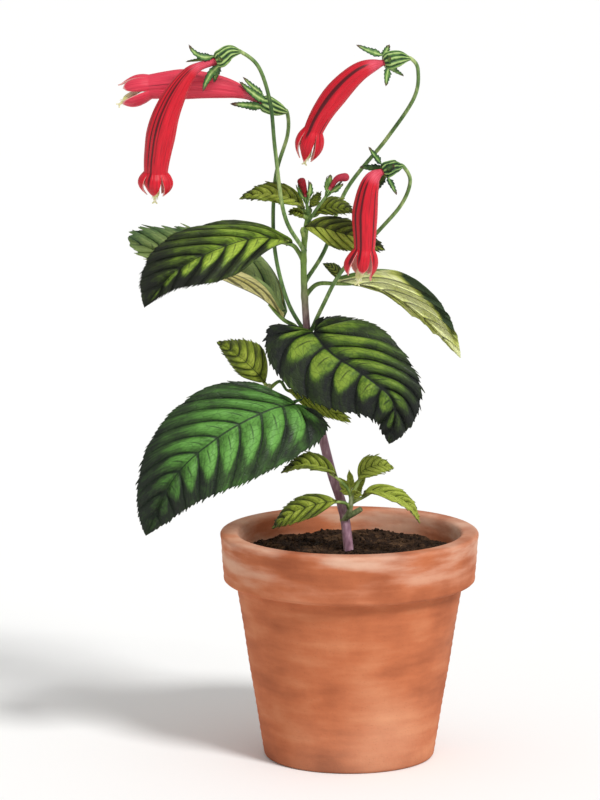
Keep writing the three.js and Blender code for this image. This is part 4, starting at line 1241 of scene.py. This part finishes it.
def sepal(skin, spine, place, angle, foot, length, lean, bend, sway=0.0, roll=0.0, dark=0.0, rows=36):
    """A narrow toothed leaf of the calyx, painted light along its raised middle and dark at its edges, brown
    at its tip.

    It leans away from the tube, bends along its length, sways sideways and rolls over.
    """
    middle, along = spine.at(place)
    out = unit(spine.around(place, angle, 1.0) - middle)
    flat = np.cross(along, out)
    share = np.linspace(0, 1, rows)
    turn = np.radians(lean + bend * share)
    swing = np.radians(sway) * share
    ahead = along * np.cos(turn)[:, None] + out * np.sin(turn)[:, None]
    ahead = unit(ahead + flat * np.sin(swing)[:, None])
    face = out * np.cos(turn)[:, None] - along * np.sin(turn)[:, None]
    steps = np.cumsum(ahead[1:] * length / (rows - 1), axis=0)
    centre = spine.around(place, angle, foot) + np.concatenate([[np.zeros(3)], steps])
    saw = (share * length / SEPAL_TOOTH) % 1
    half = SEPAL_WIDTH / 2 * (0.75 + 0.5 * step_up(share, 0, 0.3) - 0.95 * share**1.7)
    half = half * (0.86 + 0.34 * saw) * (1 - step_up(share, 0.9, 1.02))
    # Its section: across from 1 to -1, up in millimetres, and how light each point is: painted light on the
    # raised middle and painted shade at the edges.
    x = np.array([1, 0.7, 0.35, 0.12, 0, -0.12, -0.35, -0.7, -1, -0.6, 0, 0.6])
    y = np.array([0, 0.1, 0.12, 0.2, 0.26, 0.2, 0.12, 0.1, 0, -0.22, -0.3, -0.22])
    light = np.array([0.05, 0.3, 0.5, 0.85, 0.95, 0.85, 0.5, 0.3, 0.05, 0.4, 0.6, 0.4]) - dark
    thick = (1 - 0.6 * share)[:, None]
    rolled = np.radians(roll) * step_up(share, 0, 0.35)[:, None]
    wide = flat * np.cos(rolled) + face * np.sin(rolled)
    deep = face * np.cos(rolled) - flat * np.sin(rolled)
    rings = centre[:, None] + wide[:, None] * (half[:, None] * x)[..., None]
    rings = closed(rings + deep[:, None] * (y * thick + SEPAL_DISH * np.abs(x) * half[:, None])[..., None])
    brown = step_up(np.concatenate([[0], share, [1]]), 0.72, 0.98)[:, None]
    skin.grid(rings, ring_uv(len(rings), len(x)), tone=light[None, :], under=brown)


def calyx(skin, spine, length, size, stout, sepals, dark):
    """The ribbed ovary and its five sepals."""
    share = length / spine.length
    columns = OVARY_RIBS * 12
    angle = np.arange(columns) / columns * 2 * math.pi
    step = np.concatenate([np.linspace(0, 1, 44), [1, 1]])[:, None]
    ribs = np.cos(OVARY_RIBS * angle)
    girth = 1 + (stout - 1) * step_up(step, 0, 0.45)
    ribbed = 1 + 0.1 * ribs * np.sin(math.pi * np.clip(step, 0, 1)) ** 0.5
    radius = profile(OVARY_SHAPE, step) * size * girth * ribbed
    radius[-2] *= 0.7
    radius[-1] = 0.01
    rings = spine.around(share * step, angle, radius)
    foot = np.broadcast_to(rings[0].mean(0), (1, columns, 3))
    # The valleys between the ribs are painted darker and the ridges lighter, as painted shade and light.
    tone = np.broadcast_to(0.5 + 0.46 * ribs - dark, (len(rings) + 1, columns))
    skin.grid(np.concatenate([foot, rings]), ring_uv(len(rings) + 1, columns), tone=tone)
    for i, (long, *pose) in enumerate(sepals):
        turn = (i + 0.5) / 5 * 2 * math.pi
        sepal(skin, spine, share * 0.9, turn, 1.7 * size * stout, long, *pose, dark=dark)


def stamens(skin, spine, start, mouth, past, droop):
    """The column of joined stamens, its anthers, and the two-lobed tip of the style. Its end may droop."""
    foot = start + (mouth - start) * (TUBE_DEPTH + 0.01)
    end = 1 + past / spine.length
    anthers = end - ANTHER_LENGTH / spine.length
    columns = 40
    angle = np.arange(columns) / columns * 2 * math.pi
    places = np.concatenate([np.linspace(foot, anthers, 30), np.linspace(anthers, end, 40)[1:]])
    rise = np.clip((places - anthers) / (end - anthers), 0, 1)
    radius = profile(ANTHER_SHAPE, rise)
    furrow = 1 - 0.1 * np.exp(-(((angle / (2 * math.pi) * 5) % 1 - 0.5) / 0.16) ** 2)
    radius = radius[:, None] * np.where((rise < 0.78)[:, None], furrow, 1)
    rings = spine.around(places[:, None], angle, radius)
    rings = rings + (step_up(places, mouth, 2 * end - mouth) * 2)[:, None, None] * np.array(droop)
    tip = rings[-1].mean(0)
    along = unit(tip - rings[-4].mean(0))
    tuft = rings[-11].mean(0)
    rise = np.concatenate([rise[:1], rise, rise[-1:]])
    skin.grid(closed(rings), ring_uv(len(rise), columns), tone=rise[:, None], under=(furrow < 0.94) * 1.0)
    side = unit(np.cross(along, [0, 1, 0]))
    for way in (1, -1):
        bend = tip + along * 0.4 + side * 0.35 * way
        lobe_tip = tip + along * 0.9 + side * 0.95 * way
        skin.line([tip - along * 0.3, bend, lobe_tip], [0.34, 0.36, 0.26], 0.9)
    other = np.cross(along, side)
    draws = np.random.default_rng(HAIR_SEED)
    for i in range(ANTHER_HAIRS):
        turn = i / ANTHER_HAIRS * 2 * math.pi + draws.uniform(-0.1, 0.1)
        out = side * math.cos(turn) + other * math.sin(turn)
        root = tuft + out * 1.0
        hair = out * 0.25 + along * draws.uniform(0.7, 1.3)
        skin.line([root, root + hair * 0.5, root + hair], [0.07, 0.05, 0.02], 1.0)


def petal_finish(name, neck, dark, middle, bright, inner):
    """A corolla's skin: silky, dark stripes and painted shade along the tube, a paler neck, a pale inside."""
    finish = Finish(name, 0.42, 0.3)
    stripe, place = finish.both_ways()
    threads = finish.noise(1.0, 4, finish.stretched(stripe, place, 12.0, 6.0))
    blotches = finish.noise(1.0, 3, finish.stretched(stripe, place, 1.6, 9.0))
    # The tone layer holds the dark streaks: own stripes, and painted shade on the shaded side.
    line = finish.plus(finish.layer("tone"), finish.between(threads, 0.3, 0.7, -0.22, 0.22))
    line = finish.between(line, 0.18, 0.75)
    worn = finish.between(blotches, 0.55, 0.75, 0.0, 0.35)
    petal = finish.ramp(threads, (0.3, 0.6), (middle, bright))
    petal = finish.mix(worn, petal, middle)
    petal = finish.mix(finish.times(line, 0.92), petal, dark)
    blush = finish.between(place, 0.24, 0.31, 0.8, 0.0)
    blush = finish.times(blush, finish.between(threads, 0.35, 0.6, 0.35, 1.0))
    petal = finish.mix(blush, petal, neck)
    finish.colour(finish.mix(finish.layer("under"), petal, inner))
    finish.bump(threads, 0.16)
    return finish.material


scarlet = petal_finish(
    "scarlet_petal", *palette((228, 92, 114), (64, 12, 20), (168, 16, 34), (214, 22, 42), (238, 168, 160)),
)
rose = petal_finish(
    "rose_petal", *palette((236, 126, 142), (128, 26, 46), (198, 42, 68), (226, 66, 86), (246, 196, 186)),
)
calyx_green = Finish("calyx_green", 0.5, 0.25)
mottle = calyx_green.between(calyx_green.noise(500, 3), 0.3, 0.7, -0.16, 0.16)
shade = calyx_green.plus(calyx_green.layer("tone"), mottle)
greens = palette((26, 50, 30), (64, 102, 50), (112, 146, 72), (168, 192, 118))
green = calyx_green.ramp(shade, (0.05, 0.35, 0.65, 0.95), greens)
calyx_green.colour(calyx_green.mix(calyx_green.layer("under"), green, screen(86, 58, 50)))
calyx_green.bump(calyx_green.noise(700, 3), 0.12)
arch_green = stem_finish("flower_stalk_skin", palette((58, 88, 44), (104, 134, 72), (168, 184, 118)))
cream = Finish("stamen_cream", 0.6, 0.3)
mottle = cream.between(cream.noise(600, 3), 0.3, 0.7, -0.15, 0.15)
shade = cream.plus(cream.layer("tone"), mottle)
creams = palette((244, 216, 196), (238, 226, 180), (206, 204, 128), (246, 240, 206))
pollen = cream.ramp(shade, (0.0, 0.3, 0.7, 1.0), creams)
cream.colour(cream.mix(cream.times(cream.layer("under"), 0.4), pollen, screen(150, 140, 84)))
cream.bump(cream.noise(900, 3), 0.1)

# The streaks on the side that faces away are the same on each flower.
BACK_STREAKS = [
    (5.9, 0.2, 0.9, 0.6, 0.12), (6.6, 0.25, 0.95, 0.7, 0.1), (7.4, 0.2, 0.85, 0.6, 0.12),
    (8.2, 0.25, 0.95, 0.6, 0.1), (9.0, 0.2, 0.9, 0.5, 0.1), (9.9, 0.3, 0.9, 0.4, 0.08),
]
# cut is how long the lobes are, ovary how long the calyx is and stout how wide, and past how far the stamens
# stand out of the mouth. Each sepal has its length, lean, bend, sway and roll. stem is the way of the stalk,
# and bloom runs down the middle of the flower, from the foot of its ovary to the tips of its lobes.
# In each flower's streaks, the broad, strong ones on its shaded side are painted shade, and the rest its own
# stripes.
flowers = [
    {
        "size": 1,
        "shoulder": 1,
        "cut": 9,
        "bulge": 1,
        "opened": [1, 0.92, 0.97, 1, 1],
        "reaches": [1, 1, 1, 1, 1],
        "ovary": 10.5,
        "stout": 1.15,
        "dark": 0.0,
        "sepals": [
            (13, 8, 44, 0, -50), (7, 82, 24, -30, 0), (12.5, 0, 96, 0, 55), (13, 38, 4, 0, 30),
            (9, 50, 20, 0, 30),
        ],
        "streaks_and_shade": [
            (1.7, 0.3, 0.8, 0.3, 0.08), (2.2, 0.25, 0.7, 0.3, 0.08), (3.04, 0.2, 0.9, 0.6, 0.1),
            (3.38, 0.18, 1.0, 1.0, 0.14), (3.97, 0.2, 0.92, 0.85, 0.13), (4.5, 0.2, 0.9, 0.6, 0.12),
            *BACK_STREAKS,
        ],
        "past": 2.4,
        "droop": (0, 0, 0),
        "stem": [
            [-17.3, -0.4, 196.5], [-24.8, -10, 211.5], [-28.3, -17, 237.1], [-30.1, -21, 255.3],
            [-34.4, -25, 269.3],
        ],
        "bloom": [
            [-41.1, -27, 275.3], [-45.4, -28, 275.1], [-49.5, -29, 272.3], [-59.7, -31, 267.9],
            [-68.2, -32, 253.6], [-72.1, -30, 236.7], [-73.1, -28, 221.7],
        ],
    },
    {
        "size": 1.04,
        "shoulder": 1,
        "cut": 11,
        "bulge": 0.5,
        "opened": [1.16, 0.93, 0.84, 1, 1.1],
        "reaches": [1, 0.85, 1.12, 1.05, 1],
        "ovary": 11,
        "stout": 1.1,
        "dark": 0.0,
        "sepals": [
            (12.5, 20, 4, 0, -50), (13, 7, 4, 20, 0), (12, 12, 12, 0, 55), (11, 16, 8, 0, 0),
            (12, 18, 8, 0, 30),
        ],
        "streaks_and_shade": [
            (0.7, 0.3, 0.95, 0.5, 0.12), (1.6, 0.3, 0.8, 0.22, 0.06), (2.6, 0.6, 0.95, 0.5, 0.1),
            (3.5, 0.25, 0.7, 0.25, 0.06), (4.4, 0.25, 0.95, 0.4, 0.08), (5.1, 0.2, 0.9, 0.55, 0.12),
            *BACK_STREAKS,
        ],
        "past": 3.0,
        "droop": (2, -3.5, -4),
        "stem": [
            [-16.2, 1.9, 163.4], [-24, 2, 177.6], [-28.8, 2, 198.8], [-28.4, 3, 223.6], [-23.7, -3, 241.4],
        ],
        "bloom": [
            [-23.9, -9, 250.7], [-28.3, -11, 252.4], [-32.8, -12, 254.6], [-43.9, -14, 259.6],
            [-59.8, -16, 261.8], [-74.4, -16, 261], [-85.7, -14, 259],
        ],
    },
    {
        "size": 0.82,
        "shoulder": 0.65,
        "cut": 12,
        "bulge": 1.1,
        "opened": [0.96, 0.92, 0.96, 1, 1],
        "reaches": [1, 1.05, 1, 1, 1],
        "ovary": 10.5,
        "stout": 1.5,
        "dark": 0.0,
        "sepals": [
            (8.5, 56, 12, 0, -55), (4, 96, 14, 0, 0), (12, 32, 14, 0, 55), (10, 104, 28, -10, 70),
            (10, 120, 10, 0, 60),
        ],
        "streaks_and_shade": [
            (1.45, 0.62, 0.95, 0.6, 0.13), (1.9, 0.3, 0.6, 0.3, 0.07), (2.3, 0.3, 0.62, 0.4, 0.08),
            (3.3, 0.22, 0.9, 1.2, 0.27), (4.3, 0.2, 0.8, 0.45, 0.08), (4.9, 0.2, 0.9, 0.5, 0.1),
            *BACK_STREAKS,
        ],
        "past": 1.2,
        "droop": (0, 0, 0),
        "stem": [
            [-17.3, 1, 184.2], [-9.3, 7, 196.5], [-1.6, 9, 218.3], [13.8, 0, 239.5], [23.9, -10, 256.2],
            [25.2, -14, 267.2],
        ],
        "bloom": [
            [22.5, -16, 271.6], [18.1, -17, 271.7], [13.3, -18, 270.6], [3.1, -20, 267], [-6.6, -20, 257.3],
            [-13.3, -19, 246.3], [-16.9, -17, 233.6],
        ],
    },
    {
        "size": 0.87,
        "shoulder": 0.65,
        "cut": 10.5,
        "bulge": 0.7,
        "opened": [1.05, 0.97, 1.3, 1.1, 1.08],
        "reaches": [1.15, 0.85, 1, 1, 1],
        "ovary": 8.5,
        "stout": 1.25,
        "dark": 0.2,
        "sepals": [
            (9, 84, 10, 0, -60), (6, 104, 20, 0, 0), (9.5, 64, 14, 0, 55), (9.5, 42, 8, 0, 0),
            (9.5, 54, 8, 0, 25),
        ],
        "streaks_and_shade": [
            (1.65, 0.25, 0.97, 0.8, 0.13), (2.45, 0.2, 0.6, 0.6, 0.08), (3.5, 0.22, 0.95, 1.05, 0.18),
            (4.3, 0.2, 0.97, 1.1, 0.16), (5.0, 0.2, 0.9, 0.5, 0.1), *BACK_STREAKS,
        ],
        "past": 2.6,
        "droop": (-1.5, -1.5, 0),
        "stem": [
            [-16, 1.9, 162.6], [-10.3, -3, 176], [-3.2, -10, 190.3], [10, -16, 205.8], [19.1, -18, 216.8],
            [22.3, -21, 226.1],
        ],
        "bloom": [
            [19.5, -24, 232.1], [17.2, -25, 231.9], [14.8, -26, 231.5], [8, -28, 227.6], [5.4, -28, 216.4],
            [5.2, -27, 202.9], [4.3, -26, 190.9],
        ],
    },
]
for i, flower in enumerate(flowers):
    number = i + 1
    spine = Spine(flower["bloom"])
    size = flower["size"]
    ovary = flower["ovary"]
    into, _ = spine.at(0.25 * ovary / spine.length)
    start = 0.97 * ovary / spine.length
    mouth = 1 - flower["cut"] / spine.length
    skin = Skin()
    calyx(skin, spine, ovary, size, flower["stout"], flower["sepals"], flower["dark"])
    way = [*flower["stem"], flower["bloom"][0], into]
    stalk(skin, way, [[0, STALK_RADIUS], [1, STALK_RADIUS * 0.9]], flare=0.4)
    green_part = skin.make(f"flower_{number}_calyx_and_stalk", calyx_green.material)
    stalks.run(green_part, Sides=STALK_SIDES, Coat=arch_green)
    place_in_frame(green_part, f"flower_{number}_stalk_and_calyx")
    skin = Skin()
    shape = [flower[key] for key in ("shoulder", "bulge", "opened", "reaches", "streaks_and_shade")]
    corolla(skin, spine, start, mouth, size, *shape)
    pale = number == 2
    tube_piece = skin.make(f"flower_{number}_tube", rose if pale else scarlet)
    place_in_frame(tube_piece, f"flower_{number}_corolla")
    skin = Skin()
    stamens(skin, spine, start, mouth, flower["past"], flower["droop"])
    column = skin.make(f"flower_{number}_stamen_column", cream.material)
    stalks.run(column, Sides=5, Coat=cream.material)
    place_in_frame(column, f"flower_{number}_stamens")

# Buds
# Two unopened buds stand at the tip of the plant, each on its own short stalk: a club of folded petals in a
# green cup with four sepals.
BUD_CUP = 3
BUD_CUP_SHAPE = [[0, 0.6], [0.6, 1.2], [1, 1]]
BUD_SEPAL_LENGTH = 6.8
BUD_STALK_RADIUS = 0.6
BUD_SEED = 80
BUD_SEPALS = [70, 140, 220, 290]
BUD_SHAPE = [[0, 0.65], [0.2, 0.85], [0.45, 1.15], [0.7, 1.5], [0.86, 1.6], [0.96, 1.15], [1, 0.3]]
# As for the flowers, stem is the way of the stalk and bloom the middle line.
buds = [
    {
        "stem": [[-15.7, -1, 210.4], [-16.2, -2.6, 213]],
        "bloom": [[-16.4, -3.2, 215], [-17.1, -4, 219.7], [-18.9, -4, 225]],
        "coat": scarlet,
    },
    {
        "stem": [[-15.9, -0.9, 207.4], [-13.8, -5.4, 211.8], [-10.6, -8, 216.6]],
        "bloom": [[-9.2, -8.6, 218.6], [-7.1, -9.4, 222.4], [-4.7, -10, 225.6], [-0.4, -10, 226.2]],
        "coat": rose,
    },
]
for i, bud in enumerate(buds):
    number = i + 1
    spine = Spine(bud["bloom"])
    share = BUD_CUP / spine.length
    columns = 60
    angle = np.arange(columns) / columns * 2 * math.pi
    step = np.linspace(0, 1, 18)[:, None]
    ribs = np.cos(OVARY_RIBS * angle)
    radius = profile(BUD_CUP_SHAPE, step) * (1 + 0.06 * ribs)
    rings = closed(spine.around(share * step, angle, radius))
    skin = Skin()
    # The valleys between the ribs are painted darker and the ridges lighter, as painted shade and light.
    skin.grid(rings, ring_uv(len(rings), columns), tone=0.5 + 0.4 * ribs)
    draws = np.random.default_rng(BUD_SEED + i)
    # The sepals are turned from the side of the cup that faces the front.
    facing = spine.around(share * 0.7, np.radians(np.arange(360)), 1.0)[:, 1].argmin()
    for turn in BUD_SEPALS:
        length = BUD_SEPAL_LENGTH * draws.uniform(0.85, 1.1)
        lean = 28 + draws.uniform(-6, 6)
        bend = -10 + draws.uniform(-10, 10)
        sway = draws.uniform(-15, 15)
        turn = math.radians(facing + turn)
        sepal(skin, spine, share * 0.7, turn, 0.8, length, lean, bend, sway, roll=30, dark=-0.15, rows=24)
    inside, _ = spine.at(share * 0.4)
    way = [*bud["stem"], bud["bloom"][0], inside]
    stalk(skin, way, [[0, BUD_STALK_RADIUS], [1, BUD_STALK_RADIUS]], step=0.5, flare=0.3)
    cup = skin.make(f"bud_{number}_cup", calyx_green.material)
    stalks.run(cup, Sides=STALK_SIDES, Coat=arch_green)
    place_in_frame(cup, f"bud_{number}_calyx")
    step = np.linspace(0, 1, 60)[:, None]
    folds = 1 - 0.07 * np.exp(-((((angle / (2 * math.pi) * 5) % 1 - 0.5) / 0.12) ** 2))
    radius = profile(BUD_SHAPE, step) * folds
    place = 0.9 * share + (1 - 0.9 * share) * step
    rings = closed(spine.around(place, angle, radius))
    skin = Skin()
    skin.grid(rings, ring_uv(len(rings), columns, 10, 0.8) + np.array([0, 0.15]))
    club = skin.make(f"bud_{number}_petals", bud["coat"])
    place_in_frame(club, f"bud_{number}")

# Floor and light
# The pot stands on a plain pale floor in soft daylight from all round, and one broad light comes from the
# upper right, in front of the plant.
FLOOR_RADIUS = 9.0
DAYLIGHT_STRENGTH = 0.55
SUN_STRENGTH = 2.4
TOWARD_SUN = (0.55, -0.75, 0.9)
floor_mesh = bpy.data.meshes.new("floor")
disc = bmesh.new()
bmesh.ops.create_circle(disc, cap_ends=True, segments=64, radius=FLOOR_RADIUS)
disc.to_mesh(floor_mesh)
disc.free()
floor = bpy.data.objects.new("floor", floor_mesh)
bpy.context.scene.collection.objects.link(floor)
paper = Finish("pale_floor", 0.9, 0.2)
paper.shader.inputs["Base Color"].default_value = (0.95, 0.95, 0.94, 1)
floor_mesh.materials.append(paper.material)

world = bpy.data.worlds.new("daylight")
world.use_nodes = True
world.node_tree.nodes["Background"].inputs["Color"].default_value = (1, 1, 1, 1)
world.node_tree.nodes["Background"].inputs["Strength"].default_value = DAYLIGHT_STRENGTH
bpy.context.scene.world = world
bpy.context.scene.view_settings.view_transform = "Standard"
sun = bpy.data.objects.new("key_light", bpy.data.lights.new("key_light", "SUN"))
sun.data.energy = SUN_STRENGTH
sun.data.angle = math.radians(14)
sun.rotation_euler = Vector(TOWARD_SUN).to_track_quat("Z", "Y").to_euler()
bpy.context.scene.collection.objects.link(sun)
